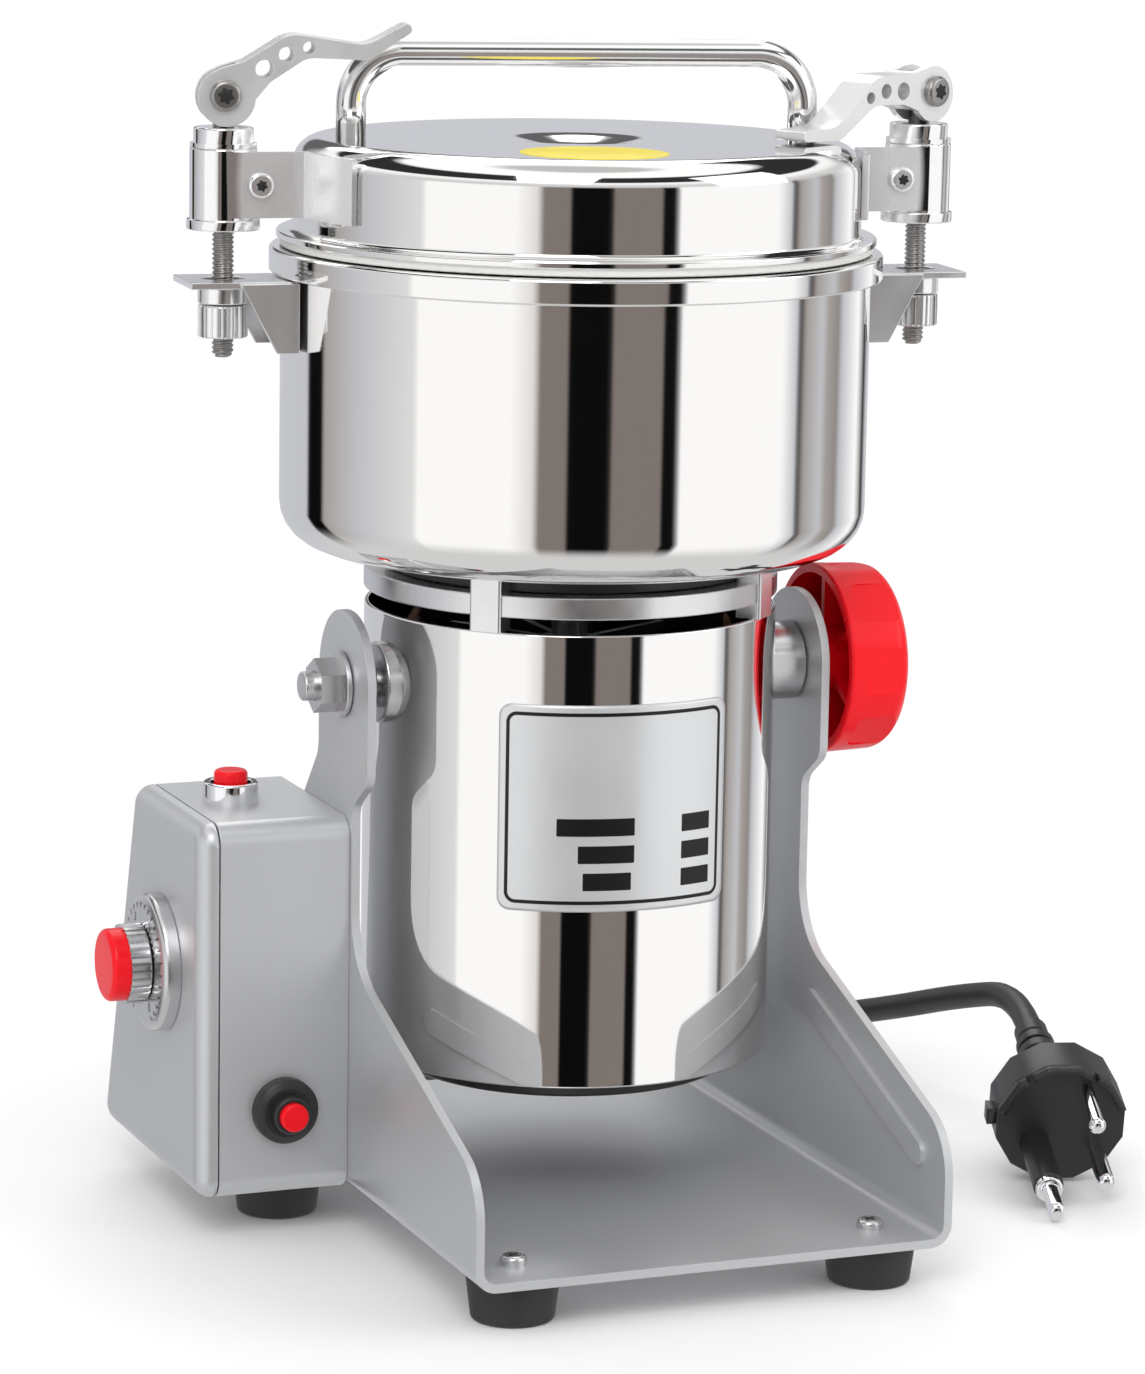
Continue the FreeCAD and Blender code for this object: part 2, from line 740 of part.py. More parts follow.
def make_switches():
    top = dim.box_top
    keep(turned("power_bezel_body", [
        (dim.bezel_bore, 0),
        (dim.bezel_radius, 0),
        (dim.bezel_radius, dim.bezel_height, 0.7),
        (dim.bezel_bore, dim.bezel_height, 0.5),
    ], x=dim.button_x, y=dim.button_y, z=top), "power_button_bezel")
    stem = dim.button_radius - 2
    button_top = dim.bezel_height + dim.button_proud
    keep(turned("power_button_body", [
        (0, -dim.box_sheet - 4),
        (stem, -dim.box_sheet - 4),
        (stem, dim.bezel_height - 3),
        (dim.button_radius, dim.bezel_height - 3),
        (dim.button_radius, button_top, 1.2),
        (0, button_top),
    ], x=dim.button_x, y=dim.button_y, z=top), "power_button")
    switch_top = -dim.box_sheet - dim.gap
    keep(turned("power_switch", [
        (0, switch_top - dim.switch_height),
        (dim.switch_radius, switch_top - dim.switch_height),
        (dim.switch_radius, switch_top),
        (stem + dim.running_gap, switch_top),
        (stem + dim.running_gap, switch_top - 4 - dim.button_travel - 1),
        (0, switch_top - 4 - dim.button_travel - 1),
    ], x=dim.button_x, y=dim.button_y, z=top), "power_switch_body")

    front = {"x": dim.reset_x, "y": -dim.box_front, "z": dim.reset_z}
    bush = dim.reset_bush_radius
    bore = dim.reset_button_radius + dim.running_gap
    button_back = 2.0 - dim.box_sheet
    face = turned("reset_bush", [
        (bore, -dim.box_sheet - 3),
        (bush, -dim.box_sheet - 3),
        (bush, 0.0),
        (dim.reset_ring_radius, 0.0),
        (dim.reset_ring_radius, dim.reset_ring_height, 1.2),
        (bush + 1.6, dim.reset_ring_height + 1.2, 0.8),
        (bush, dim.reset_ring_height + 1.2),
        (bush, dim.reset_bush_height, 0.8),
        (bore, dim.reset_bush_height),
    ], **front, **FORWARDS)
    half = dim.breaker_width / 2
    body_front = -dim.box_front + dim.box_sheet + 3
    works = block("breaker_block", dim.reset_x - half, dim.reset_x + half, body_front,
                  body_front + dim.breaker_depth, dim.reset_z - dim.breaker_height / 2,
                  dim.reset_z + dim.breaker_height / 2)
    keep(fuse("breaker_fused", [face, works]), "overload_breaker")
    keep(turned("reset_button_body", [
        (0, button_back),
        (dim.reset_button_radius, button_back),
        (dim.reset_button_radius, dim.reset_bush_height + dim.reset_button_proud, 0.9),
        (0, dim.reset_bush_height + dim.reset_button_proud),
    ], **front, **FORWARDS), "reset_button")


# Tilt pivot: a nutted stud on the left, a knob that locks the tilt on the right

def make_pivot():
    right = {"y": pivot_y, "z": dim.pivot_height}
    reach = cheek_inner - dim.gap
    bore = dim.pivot_radius + dim.running_gap
    start = dim.housing_radius - 6
    bosses = []
    for name, end in (("left", reach - dim.spring_space), ("right", reach)):
        side = -1 if name == "left" else 1
        turn = LEFTWARDS if name == "left" else RIGHTWARDS
        pipe = turned(f"boss_{name}", [
            (bore, 0), (dim.pivot_boss_radius, 0), (dim.pivot_boss_radius, end - start, 0.8), (bore, end - start),
        ], x=start * side, **right, **turn)
        core = cylinder(f"boss_core_{name}", dim.housing_radius, dim.pivot_boss_radius * 4,
                        z=dim.pivot_height - dim.pivot_boss_radius * 2)
        bosses.append(cut(f"boss_cut_{name}", pipe, core))
    group("pivot_bosses", bosses)

    outside = half_width + dim.gap
    nut_low = outside + dim.pivot_washer_height
    left_stud = turned("pivot_stud", [
        (0, dim.housing_radius - 6),
        (dim.pivot_radius, dim.housing_radius - 6),
        (dim.pivot_radius, nut_low + dim.pivot_nut_height + 3.6, 0.7),
        (0, nut_low + dim.pivot_nut_height + 3.6),
    ], **right, **LEFTWARDS)
    washer = turned("pivot_washer", [
        (bore, outside), (dim.pivot_washer_radius, outside, 0.4),
        (dim.pivot_washer_radius, nut_low, 0.4), (bore, nut_low),
    ], **right, **LEFTWARDS)
    nut = new_body("pivot_nut_body")
    hexagon = new_sketch(nut, "hexagon", "XY", nut_low)
    across = dim.pivot_nut_across / math.sqrt(3)
    add_loop(hexagon, [(across * math.cos(math.radians(60 * i)), across * math.sin(math.radians(60 * i)))
                       for i in range(6)])
    pad(nut, hexagon, dim.pivot_nut_height)
    holes(nut, "nut_bore", "XY", [(0, 0, bore)])
    place(nut, **right, **LEFTWARDS)
    group("pivot_nut", [washer, nut])

    keep(turned("lock_washer_body", [
        (bore, outside),
        (dim.lock_washer_radius, outside, 0.5),
        (dim.lock_washer_radius, outside + dim.lock_washer_height, 0.5),
        (bore, outside + dim.lock_washer_height),
    ], **right, **RIGHTWARDS), "lock_washer")
    knob_low = outside + dim.lock_washer_height + dim.gap
    knob_top = knob_low + dim.knob_depth
    stud_top = knob_top - 7
    right_stud = turned("lock_stud", [
        (0, dim.housing_radius - 5), (dim.pivot_radius, dim.housing_radius - 5, 0.6),
        (dim.pivot_radius, stud_top), (0, stud_top),
    ], **right, **RIGHTWARDS)
    group("pivot_studs", [left_stud, right_stud])
    make_lock_knob(knob_low, knob_top, stud_top, right)


def make_lock_knob(knob_low, knob_top, stud_top, where):
    """Moulded hand knob: a cup with a hub, six ribs and eight hollow grips."""
    wall = dim.knob_wall
    rim = dim.knob_radius
    knob = new_body("lock_knob_body")
    section = new_sketch(knob, "knob_section", "XZ")
    add_loop(section, [
        (dim.pivot_radius, knob_low),
        (dim.knob_hub_radius, knob_low, 0.6),
        (dim.knob_hub_radius, knob_top - wall),
        (rim - wall, knob_top - wall, 2.5),
        (rim - wall, knob_low + 1.4),
        (rim, knob_low + 1.4, 0.8),
        (rim - 0.6, knob_top - 0.4, 5.0),
        (6, knob_top),
        (0, knob_top),
        (0, stud_top),
        (dim.pivot_radius, stud_top),
    ])
    revolve(knob, section)
    rib = new_sketch(knob, "knob_rib", "XY", knob_low + 4)
    add_loop(rib, [
        (dim.knob_hub_radius - 1, -1), (rim - wall + 0.5, -1), (rim - wall + 0.5, 1), (dim.knob_hub_radius - 1, 1),
    ])
    ribs = pad(knob, rib, knob_top - wall - knob_low - 3)
    repeat_round(knob, ribs, 6, "knob_ribs")
    grip = new_sketch(knob, "knob_grip", "YZ", rim - dim.knob_grip_depth)
    half = dim.knob_grip_width / 2
    add_loop(grip, [
        (-half, knob_low + 5.5, 3.0), (half, knob_low + 5.5, 3.0), (half, knob_top + 1), (-half, knob_top + 1),
    ])
    grips = pocket(knob, grip, 5.0, "One side", backwards=True)
    repeat_round(knob, grips, 8, "knob_grips")
    place(knob, **where, **RIGHTWARDS)
    keep(knob, "lock_knob")


# Motor housing and the bracket that carries the bowl

def make_housing():
    inner = dim.housing_radius - dim.housing_wall
    tube = turned("housing_tube", [
        (inner, dim.housing_bottom), (dim.housing_radius, dim.housing_bottom, 0.4),
        (dim.housing_radius, dim.housing_top, 0.4), (inner, dim.housing_top),
    ], turn=90.0)
    drill = cylinder("pivot_drill", dim.pivot_radius + 1, dim.housing_radius * 3,
                     x=-dim.housing_radius * 1.5, y=pivot_y, z=dim.pivot_height, **RIGHTWARDS)
    keep(cut("housing_drilled", tube, drill), "motor_housing")

    low = dim.housing_bottom
    cap = new_body("bottom_cap_body")
    section = new_sketch(cap, "cap_section", "XZ")
    add_loop(section, [
        (0, low - dim.cap_drop),
        (cap_radius - 2, low - dim.cap_drop, 2.0),
        (cap_radius, low - 0.2),
        (inner - 0.1, low + 0.2),
        (inner - 0.1, low + 4),
        (cap_radius - 1, low + 4),
        (cap_radius - 3, low - dim.cap_drop + 2.2),
        (0, low - dim.cap_drop + 2.2),
    ])
    revolve(cap, section)
    vent = new_sketch(cap, "cap_vent", "XY", low - dim.cap_drop - 1)
    add_loop(vent, [(16, -2, 1.9), (40, -2, 1.9), (40, 2, 1.9), (16, 2, 1.9)])
    vents = pocket(cap, vent, 6.0, "One side", backwards=True)
    repeat_round(cap, vents, 12, "cap_vents")
    place(cap)
    keep(cap, "housing_bottom_cap")


def make_end_bracket():
    """Cast ring with a bearing seat; four lugs stand on the housing and carry the bowl."""
    low = dim.bracket_bottom
    high = low + dim.bracket_thickness
    seat = dim.bearing_radius + 0.02
    body = new_body("end_bracket_body")
    section = new_sketch(body, "bracket_section", "XZ")
    add_loop(section, [
        (seat, low - 4), (seat + 4, low - 4), (seat + 4, low), (bracket_radius, low, 0.5),
        (bracket_radius, high, 0.5), (seat, high),
    ])
    revolve(body, section)
    lug = new_sketch(body, "lug", "XY", dim.housing_top)
    half = dim.lug_width / 2
    out = bracket_radius + dim.lug_proud
    add_loop(lug, [
        (out - dim.lug_depth, -half), (out, -half, 0.8), (out, half, 0.8), (out - dim.lug_depth, half),
    ])
    lugs = pad(body, lug, dim.bowl_bottom - dim.housing_top)
    repeat_round(body, lugs, 4, "lugs")
    place(body, axis=(0, 0, 1), angle=45.0)
    keep(body, "motor_end_bracket")


# Bowl and the two brackets that hold the clamp rods

def make_bowl():
    inner = dim.bowl_radius - dim.bowl_wall
    floor = dim.bowl_bottom + dim.bowl_floor
    keep(turned("bowl_shell", [
        (dim.bowl_shaft_hole, dim.bowl_bottom),
        (dim.bowl_radius, dim.bowl_bottom, dim.bowl_corner),
        (dim.bowl_radius, dim.bowl_top - dim.rim_height),
        (dim.rim_radius, dim.bowl_top - dim.rim_height, 1.2),
        (dim.rim_radius, dim.bowl_top, 2.4),
        (inner, dim.bowl_top, 0.6),
        (inner, floor, dim.bowl_corner - dim.bowl_wall),
        (dim.bowl_shaft_hole, floor),
    ]), "grinding_bowl")


def make_bowl_brackets():
    wall = dim.bowl_radius + 0.1
    web = wall + dim.bracket_sheet
    tip = dim.clamp_x + dim.bracket_reach
    top = dim.bracket_top
    under = top - dim.bracket_sheet
    half = dim.bracket_half_width
    brackets = []
    rivets = []
    for name, side in (("left", -1), ("right", 1)):
        angle = [(wall * side, top, ), (tip * side, top), (tip * side, under), (web * side, under, 1.2),
                 (web * side, dim.bracket_low), (wall * side, dim.bracket_low)]
        body = plate(f"bracket_{name}", "XZ", angle if side > 0 else angle[::-1], half * 2)
        for y, backwards in ((half, False), (-half, True)):
            gusset = new_sketch(body, f"gusset_{name}_{'front' if backwards else 'rear'}", "XZ", -y)
            corners = [(wall * side, top - 0.4), ((dim.clamp_x - 2) * side, top - 0.4),
                       ((wall + 6) * side, dim.bracket_low), (wall * side, dim.bracket_low)]
            add_loop(gusset, corners if side > 0 else corners[::-1])
            pad(body, gusset, dim.bracket_sheet, "One side", not backwards)
        slot = new_sketch(body, f"rod_slot_{name}", "XY", top + 1)
        add_loop(slot, [(dim.clamp_x * side + u * dim.slot_half_length, v * dim.slot_half_width,
                         dim.slot_half_width * 0.9) for u, v in ((-1, -1), (1, -1), (1, 1), (-1, 1))])
        pocket(body, slot, dim.bracket_sheet + 2, "One side")
        place(body, turn=dim.clamp_turn)
        brackets.append(body)
        for y in (-6.5, 6.5):
            head = web
            rivets.append(turned(f"rivet_{name}_{'front' if y < 0 else 'rear'}", [
                (0, head), (2.4, head), (2.4, head + 1.3, 1.1), (0, head + 1.3),
            ], y=y, z=(dim.bracket_low + under) / 2, turn=dim.clamp_turn,
                **(RIGHTWARDS if side > 0 else LEFTWARDS)))
    group("bowl_brackets", brackets)
    group("bracket_rivets", rivets)


# Lid

lid_flange_low = dim.bowl_top + dim.gap + dim.gasket_height


def make_lid():
    flange_top = lid_flange_low + dim.lid_flange
    inner = dim.lid_radius - dim.lid_wall
    under = dim.lid_top - dim.lid_wall
    dip = dim.dimple_depth
    keep(turned("lid_shell_body", [
        (0, dim.lid_top - dip),
        (dim.dimple_radius, dim.lid_top - dip, 2.0),
        (dim.dimple_radius + 2.5, dim.lid_top, 2.0),
        (dim.lid_radius, dim.lid_top, dim.lid_corner),
        (dim.lid_radius, flange_top, 0.8),
        (dim.lid_flange_radius, flange_top, 0.6),
        (dim.lid_flange_radius, lid_flange_low),
        (inner, lid_flange_low),
        (inner, under, dim.lid_corner - dim.lid_wall),
        (dim.dimple_radius + 2.5, under),
        (dim.dimple_radius, under - dip),
        (0, under - dip),
    ]), "lid_shell")
    gasket_outer = dim.lid_flange_radius - 0.9
    keep(turned("gasket_body", [
        (gasket_outer - dim.gasket_width, dim.bowl_top + dim.gap, 0.5),
        (gasket_outer, dim.bowl_top + dim.gap, 0.5),
        (gasket_outer, lid_flange_low),
        (gasket_outer - dim.gasket_width, lid_flange_low),
    ]), "lid_gasket")


def make_handle():
    half = dim.handle_half_span
    grip = dim.handle_thickness / 2
    top = dim.handle_top
    foot = dim.lid_top
    inner_bend = dim.handle_bend - dim.handle_thickness
    body = plate("handle_body", "XZ", [
        (-half - grip, foot), (-half - grip, top, dim.handle_bend), (half + grip, top, dim.handle_bend),
        (half + grip, foot), (half - grip, foot), (half - grip, top - dim.handle_thickness, inner_bend),
        (-half + grip, top - dim.handle_thickness, inner_bend), (-half + grip, foot),
    ], dim.handle_width)

    def runs_along(edge):
        box = edge.BoundBox
        return box.YLength < 0.01 and (box.ZLength > 1 or box.XLength > 20)
    soften(body, "handle_rounding", 2.3, runs_along)
    place(body, turn=dim.handle_turn)
    keep(body, "lid_handle")


# Lid clamps, one on each side

def make_clamp(name, side, lever_angle):
    """One clamp: sleeve on the lid, threaded rod, cam lever on top and knurled nut below."""
    x = dim.clamp_x * side
    drop = dim.rod_drop_per_degree * lever_angle
    pivot = dim.lever_pivot_height - drop
    free = dim.rod_radius + dim.running_gap
    sleeve, screw = make_sleeve(name, side)

    collar_low = dim.sleeve_bottom + dim.sleeve_flange_height + dim.sleeve_height
    collar_top = collar_low + dim.collar_height
    collar = turned(f"collar_{name}", [
        (free, collar_low), (dim.collar_flange_radius, collar_low, 0.3),
        (dim.collar_flange_radius, collar_low + dim.collar_flange_height),
        (dim.collar_radius, collar_low + dim.collar_flange_height),
        (dim.collar_radius, collar_top, 0.6), (free, collar_top),
    ], x=x, turn=dim.clamp_turn)
    swivel = dim.right_swivel if side > 0 else dim.left_swivel

    rod = new_body(f"rod_{name}")
    shank = new_sketch(rod, f"rod_section_{name}", "XZ")
    add_loop(shank, [
        (0, dim.rod_bottom - drop), (dim.rod_radius, dim.rod_bottom - drop, 0.5),
        (dim.rod_radius, pivot - 3), (0, pivot - 3),
    ])
    revolve(rod, shank)
    eye = new_sketch(rod, f"eye_{name}", "XZ")
    add_circle(eye, 0, pivot, dim.eye_radius)
    pad(rod, eye, dim.eye_width, "Symmetric")
    holes(rod, f"eye_bore_{name}", "XZ", [(0, pivot, dim.lever_pin_radius + dim.running_gap)])
    place(rod, x=x, turn=dim.clamp_turn, swivel=swivel)
    keep(rod, f"clamp_rod_{name}")

    make_lever(name, side, pivot, lever_angle, swivel)
    thrust_top = dim.bracket_top - dim.bracket_sheet - dim.gap
    keep(turned(f"thrust_{name}", [
        (free, thrust_top - dim.thrust_height), (dim.nut_radius, thrust_top - dim.thrust_height, 0.4),
        (dim.nut_radius, thrust_top, 0.6), (free, thrust_top),
    ], x=x, turn=dim.clamp_turn), f"thrust_washer_{name}")
    make_knurled_nut(name, x, thrust_top - dim.thrust_height - dim.gap)
    return sleeve, collar, screw


def make_sleeve(name, side):
    """Sleeve for the rod, with a tail and a curved foot riveted to the lid's wall."""
    x = dim.clamp_x * side
    low = dim.sleeve_bottom
    barrel_low = low + dim.sleeve_flange_height
    barrel_top = barrel_low + dim.sleeve_height
    free = dim.rod_radius + dim.running_gap
    barrel = turned(f"barrel_{name}", [
        (free, low), (dim.sleeve_flange_radius, low, 0.5), (dim.sleeve_flange_radius, barrel_low, 0.5),
        (dim.sleeve_radius, barrel_low), (dim.sleeve_radius, barrel_top, 0.4), (free, barrel_top),
    ], x=x, turn=dim.clamp_turn)
    sheet_width = dim.bracket_sheet
    tail_front = -dim.sleeve_radius
    wall = dim.lid_radius + 0.1
    low_edge = barrel_low + 0.6
    high_edge = barrel_top - 0.6
    ends = [dim.lid_radius - 0.3, dim.clamp_x] if side > 0 else [-dim.clamp_x, 0.3 - dim.lid_radius]
    tail = plate(f"tail_{name}", "XY", [
        (ends[0], tail_front), (ends[1], tail_front),
        (ends[1], tail_front + sheet_width), (ends[0], tail_front + sheet_width),
    ], high_edge - low_edge, "One side", z=low_edge, turn=dim.clamp_turn)
    foot = new_body(f"sleeve_foot_{name}")
    section = new_sketch(foot, f"foot_section_{name}", "XZ")
    add_loop(section, [
        (wall, low_edge), (wall + sheet_width, low_edge), (wall + sheet_width, high_edge), (wall, high_edge),
    ])
    revolve(foot, section, 19.0)
    place(foot, turn=dim.clamp_turn + (-25.0 if side > 0 else 186.0))
    joined = fuse(f"sleeve_{name}", [barrel, tail, foot])
    screw = turned(f"sleeve_screw_{name}", [
        (0, 0), (3.4, 0), (3.4, 1.9, 0.9), (0, 1.9),
    ], x=x - side * 8.0, y=tail_front, z=(barrel_low + barrel_top) / 2, turn=dim.clamp_turn, **FORWARDS)
    return joined, screw


def make_lever(name, side, pivot, lever_angle, swivel):
    """Cast cam lever, drawn closed, with its tip towards the middle of the lid.

    Rod and lever swivel a little in the sleeve, so that the tip passes in front of the handle.
    """
    inward = -side
    body = new_body(f"lever_{name}")
    arm = new_sketch(body, f"lever_outline_{name}", "XZ")
    outline = [
        (2.0, -6.6), (8.0, -4.6), (12.0, -3.3), (23.6, -3.0, 7.0), (37.2, -12.2, 8.0), (51.0, -11.8, 1.2),
        (51.6, -9.2, 1.2), (38.6, -8.4, 9.0), (23.0, 4.9, 9.0), (9.0, 4.9), (2.0, 6.8),
    ]
    corners = [(corner[0] * inward, *corner[1:]) for corner in outline]
    add_loop(arm, corners if inward > 0 else corners[::-1])
    pad(body, arm, dim.lever_width, "Symmetric")
    cam = new_sketch(body, f"cam_{name}", "XZ")
    add_circle(cam, 0, -dim.cam_offset, dim.cam_radius)
    pad(body, cam, dim.lever_width, "Symmetric")
    slot = new_sketch(body, f"lever_slot_{name}", "XZ")
    reach = dim.eye_radius + 1.6
    far = dim.cam_radius + 4
    slot_ends = (-far, reach) if inward > 0 else (-reach, far)
    add_loop(slot, [(slot_ends[0], -far), (slot_ends[1], -far), (slot_ends[1], far), (slot_ends[0], far)])
    pocket(body, slot, dim.lever_slot, "Symmetric")
    holes(body, f"lever_holes_{name}", "XZ", [
        (0, 0, dim.lever_pin_radius), (12.4 * inward, 0.4, 2.4), (19.3 * inward, 0.6, 2.0),
        (25.4 * inward, -1.0, 1.6),
    ])
    where = {"x": dim.clamp_x * side, "z": pivot, "turn": dim.clamp_turn, "swivel": swivel}
    place(body, **where, axis=(0, 1, 0), angle=side * float(lever_angle))
    keep(body, f"clamp_lever_{name}")
    half = dim.lever_width / 2
    screw = new_body(f"lever_screw_{name}")
    section = new_sketch(screw, f"lever_screw_section_{name}", "XZ")
    add_loop(section, [
        (0, -half), (dim.lever_pin_radius, -half), (dim.lever_pin_radius, half), (dim.lever_head_radius, half),
        (dim.lever_head_radius, half + 2.4, 1.3), (0, half + 2.4),
    ])
    revolve(screw, section)
    socket = new_sketch(screw, f"lever_socket_{name}", "XY", half + 3)
    add_loop(socket, [(1.5 * math.cos(math.radians(60 * i)), 1.5 * math.sin(math.radians(60 * i)))
                      for i in range(6)])
    pocket(screw, socket, 2.2, "One side")
    place(screw, **where, **FORWARDS)
    keep(screw, f"lever_screw_{name}")


def make_knurled_nut(name, x, top):
    nut = new_body(f"nut_{name}")
    section = new_sketch(nut, f"nut_section_{name}", "XZ")
    low = top - dim.nut_height
    free = dim.rod_radius + dim.running_gap
    add_loop(section, [
        (free, low), (dim.nut_radius, low, 0.7), (dim.nut_radius, top, 0.7), (free, top),
    ])
    revolve(nut, section)
    groove = new_sketch(nut, f"nut_groove_{name}", "XY", low - 1)
    rim = dim.nut_radius
    add_loop(groove, [(rim - 0.55, 0), (rim + 0.4, -0.7), (rim + 0.4, 0.7)])
    knurl = pocket(nut, groove, dim.nut_height + 2, "One side", backwards=True)
    repeat_round(nut, knurl, 28, f"nut_knurling_{name}")
    place(nut, x=x, turn=dim.clamp_turn)
    keep(nut, f"knurled_nut_{name}")


def make_clamps():
    right = make_clamp("right", 1, Length(0.0))
    left = make_clamp("left", -1, dim.left_lever_angle)
    group("clamp_sleeves", [right[0], left[0], right[1], left[1]])
    group("sleeve_screws", [right[2], left[2]])


# Motor, shaft and blades

def ring(name, inner, outer, low, high, **where):
    return turned(name, [(inner, low), (outer, low), (outer, high), (inner, high)], **where)


def make_motor():
    inner = dim.housing_radius - dim.housing_wall - 0.05
    seat = dim.bearing_radius + 0.02
    low = dim.shield_bottom
    shield = new_body("end_shield_body")
    section = new_sketch(shield, "shield_section", "XZ")
    add_loop(section, [
        (seat, low), (seat + 4, low), (seat + 4, low + 2), (inner, low + 2), (inner, low + 6),
        (seat + 4, low + 6), (seat + 4, low + dim.shield_height), (seat, low + dim.shield_height),
    ])
    revolve(shield, section)
    window = new_sketch(shield, "shield_window", "XY", low - 1)
    add_loop(window, [(22, -11, 4), (48, -16, 4), (48, 16, 4), (22, 11, 4)])
    windows = pocket(shield, window, 10.0, "One side", backwards=True)
    repeat_round(shield, windows, 4, "shield_windows")
    place(shield)
    keep(shield, "lower_end_shield")

    bore = dim.armature_radius + dim.air_gap
    core = ring("stator_ring", bore, stator_radius, dim.core_bottom, dim.core_top)
    keys = []
    for number, angle in enumerate((0, 90, 180, 270)):
        key = block(f"stator_key_{number}", 0, 0, 0, 0, 0, 0)
        bind(key, "Length", inner - stator_radius + 0.5)
        bind(key, "Width", Length(14.0))
        bind(key, "Height", dim.core_top - dim.core_bottom)
        key.Placement.Rotation = Rotation(Vector(0, 0, 1), angle)
        reach = stator_radius - 1
        across = {0: (1, 0), 90: (0, 1), 180: (-1, 0), 270: (0, -1)}[angle]
        bind(key, "Placement.Base.x", dim.axis_x + reach * across[0] + 7.0 * across[1])
        bind(key, "Placement.Base.y", dim.axis_y + reach * across[1] - 7.0 * across[0])
        bind(key, "Placement.Base.z", dim.core_bottom)
        keys.append(key)
    keep(fuse("stator_fused", [core, *keys]), "stator_core")
    turns = []
    for name, height in (("lower", dim.core_bottom - 10.4), ("upper", dim.core_top + 0.4)):
        turns.append(turned(f"field_{name}", [
            (bore + 3, height, 3.0), (stator_radius - 4, height, 3.0),
            (stator_radius - 4, height + 10, 3.0), (bore + 3, height + 10, 3.0),
        ]))
    group("field_coils", turns)

    brush_z = dim.core_bottom - 10.4 - 4
    brushes = []
    track = dim.commutator_radius + 0.3
    for name, side in (("left", -1), ("right", 1)):
        limits = (track, track + 9) if side > 0 else (-track - 9, -track)
        carbon = block(f"carbon_{name}", limits[0], limits[1], -3, 3, brush_z - 4, brush_z + 3)
        shell = (track + 2, inner - 1) if side > 0 else (-inner + 1, -track - 2)
        case = block(f"brush_case_{name}", shell[0], shell[1], -5, 5, brush_z - 5.0, brush_z + 3.7)
        hollow = (track + 1, track + 14) if side > 0 else (-track - 14, -track - 1)
        space = block(f"brush_space_{name}", hollow[0], hollow[1], -3, 3, brush_z - 4, brush_z + 3)
        brushes.append(carbon)
        brushes.append(cut(f"brush_holder_{name}", case, space))
    group("brush_gear", brushes)


def make_rotor():
    radius = dim.shaft_radius
    upper_seat = dim.bracket_bottom - 3.5
    thread = dim.lower_blade_z - 8
    keep(turned("shaft_body", [
        (0, dim.shaft_bottom), (radius, dim.shaft_bottom, 0.6), (radius, thread),
        (radius, dim.shaft_top, 0.8), (0, dim.shaft_top),
    ]), "rotor_shaft")
    lower_seat = dim.shield_bottom + 1
    bearings = [
        ring("lower_bearing", radius, dim.bearing_radius - dim.running_gap, lower_seat,
             lower_seat + dim.bearing_width),
        ring("upper_bearing", radius, dim.bearing_radius - dim.running_gap, upper_seat,
             upper_seat + dim.bearing_width),
    ]
    group("shaft_bearings", bearings)

    core = new_body("armature_body")
    section = new_sketch(core, "armature_section", "XZ")
    edge = dim.armature_radius
    add_loop(section, [
        (radius, dim.core_bottom - 5), (edge - 6, dim.core_bottom - 5, 2.5), (edge - 4, dim.core_bottom, 0.5),
        (edge, dim.core_bottom), (edge, dim.core_top), (edge - 4, dim.core_top, 0.5),
        (edge - 6, dim.core_top + 7, 2.5), (radius, dim.core_top + 7),
    ])
    revolve(core, section)
    slot = new_sketch(core, "armature_slot", "XY", dim.core_bottom - 1)
    add_loop(slot, [(edge - 3, -0.9), (edge + 1, -0.9), (edge + 1, 0.9), (edge - 3, 0.9)])
    slots = pocket(core, slot, dim.core_top - dim.core_bottom + 2, "One side", backwards=True)
    repeat_round(core, slots, 12, "armature_slots")
    place(core)
    commutator_low = dim.core_bottom - 5.4 - dim.commutator_height
    commutator = ring("commutator", radius, dim.commutator_radius, commutator_low,
                      commutator_low + dim.commutator_height)
    group("armature", [core, commutator])

    fan = new_body("fan_body")
    hub = new_sketch(fan, "fan_hub", "XZ")
    low = dim.fan_bottom
    add_loop(hub, [
        (radius, low), (dim.fan_radius, low), (dim.fan_radius, low + 2), (radius + 6, low + 2),
        (radius + 6, low + dim.fan_height), (radius, low + dim.fan_height),
    ])
    revolve(fan, hub)
    vane = new_sketch(fan, "fan_vane", "XY", low + 1)
    add_loop(vane, [(radius + 5, -1), (dim.fan_radius - 2, -1), (dim.fan_radius - 2, 1), (radius + 5, 1)])
    vanes = pad(fan, vane, dim.fan_height - 1)
    repeat_round(fan, vanes, 12, "fan_vanes")
    place(fan)
    keep(fan, "cooling_fan")


def make_blade(label, height, length, angle):
    """Flat steel blade with sharpened leading corners, clamped on the shaft."""
    half = length / 2
    side = dim.blade_width / 2
    root = dim.blade_width / 3
    body = plate(label + "_body", "XY", [
        (-half, -side, 1.0), (-half * 0.55, -root, 6.0), (half, -root, 1.0),
        (half, side, 1.0), (half * 0.55, root, 6.0), (-half, root, 1.0),
    ], dim.blade_sheet, "One side")
    holes(body, label + "_bore", "XY", [(0, 0, dim.shaft_radius)])
    return place(body, z=height, axis=(0, 0, 1), angle=angle)


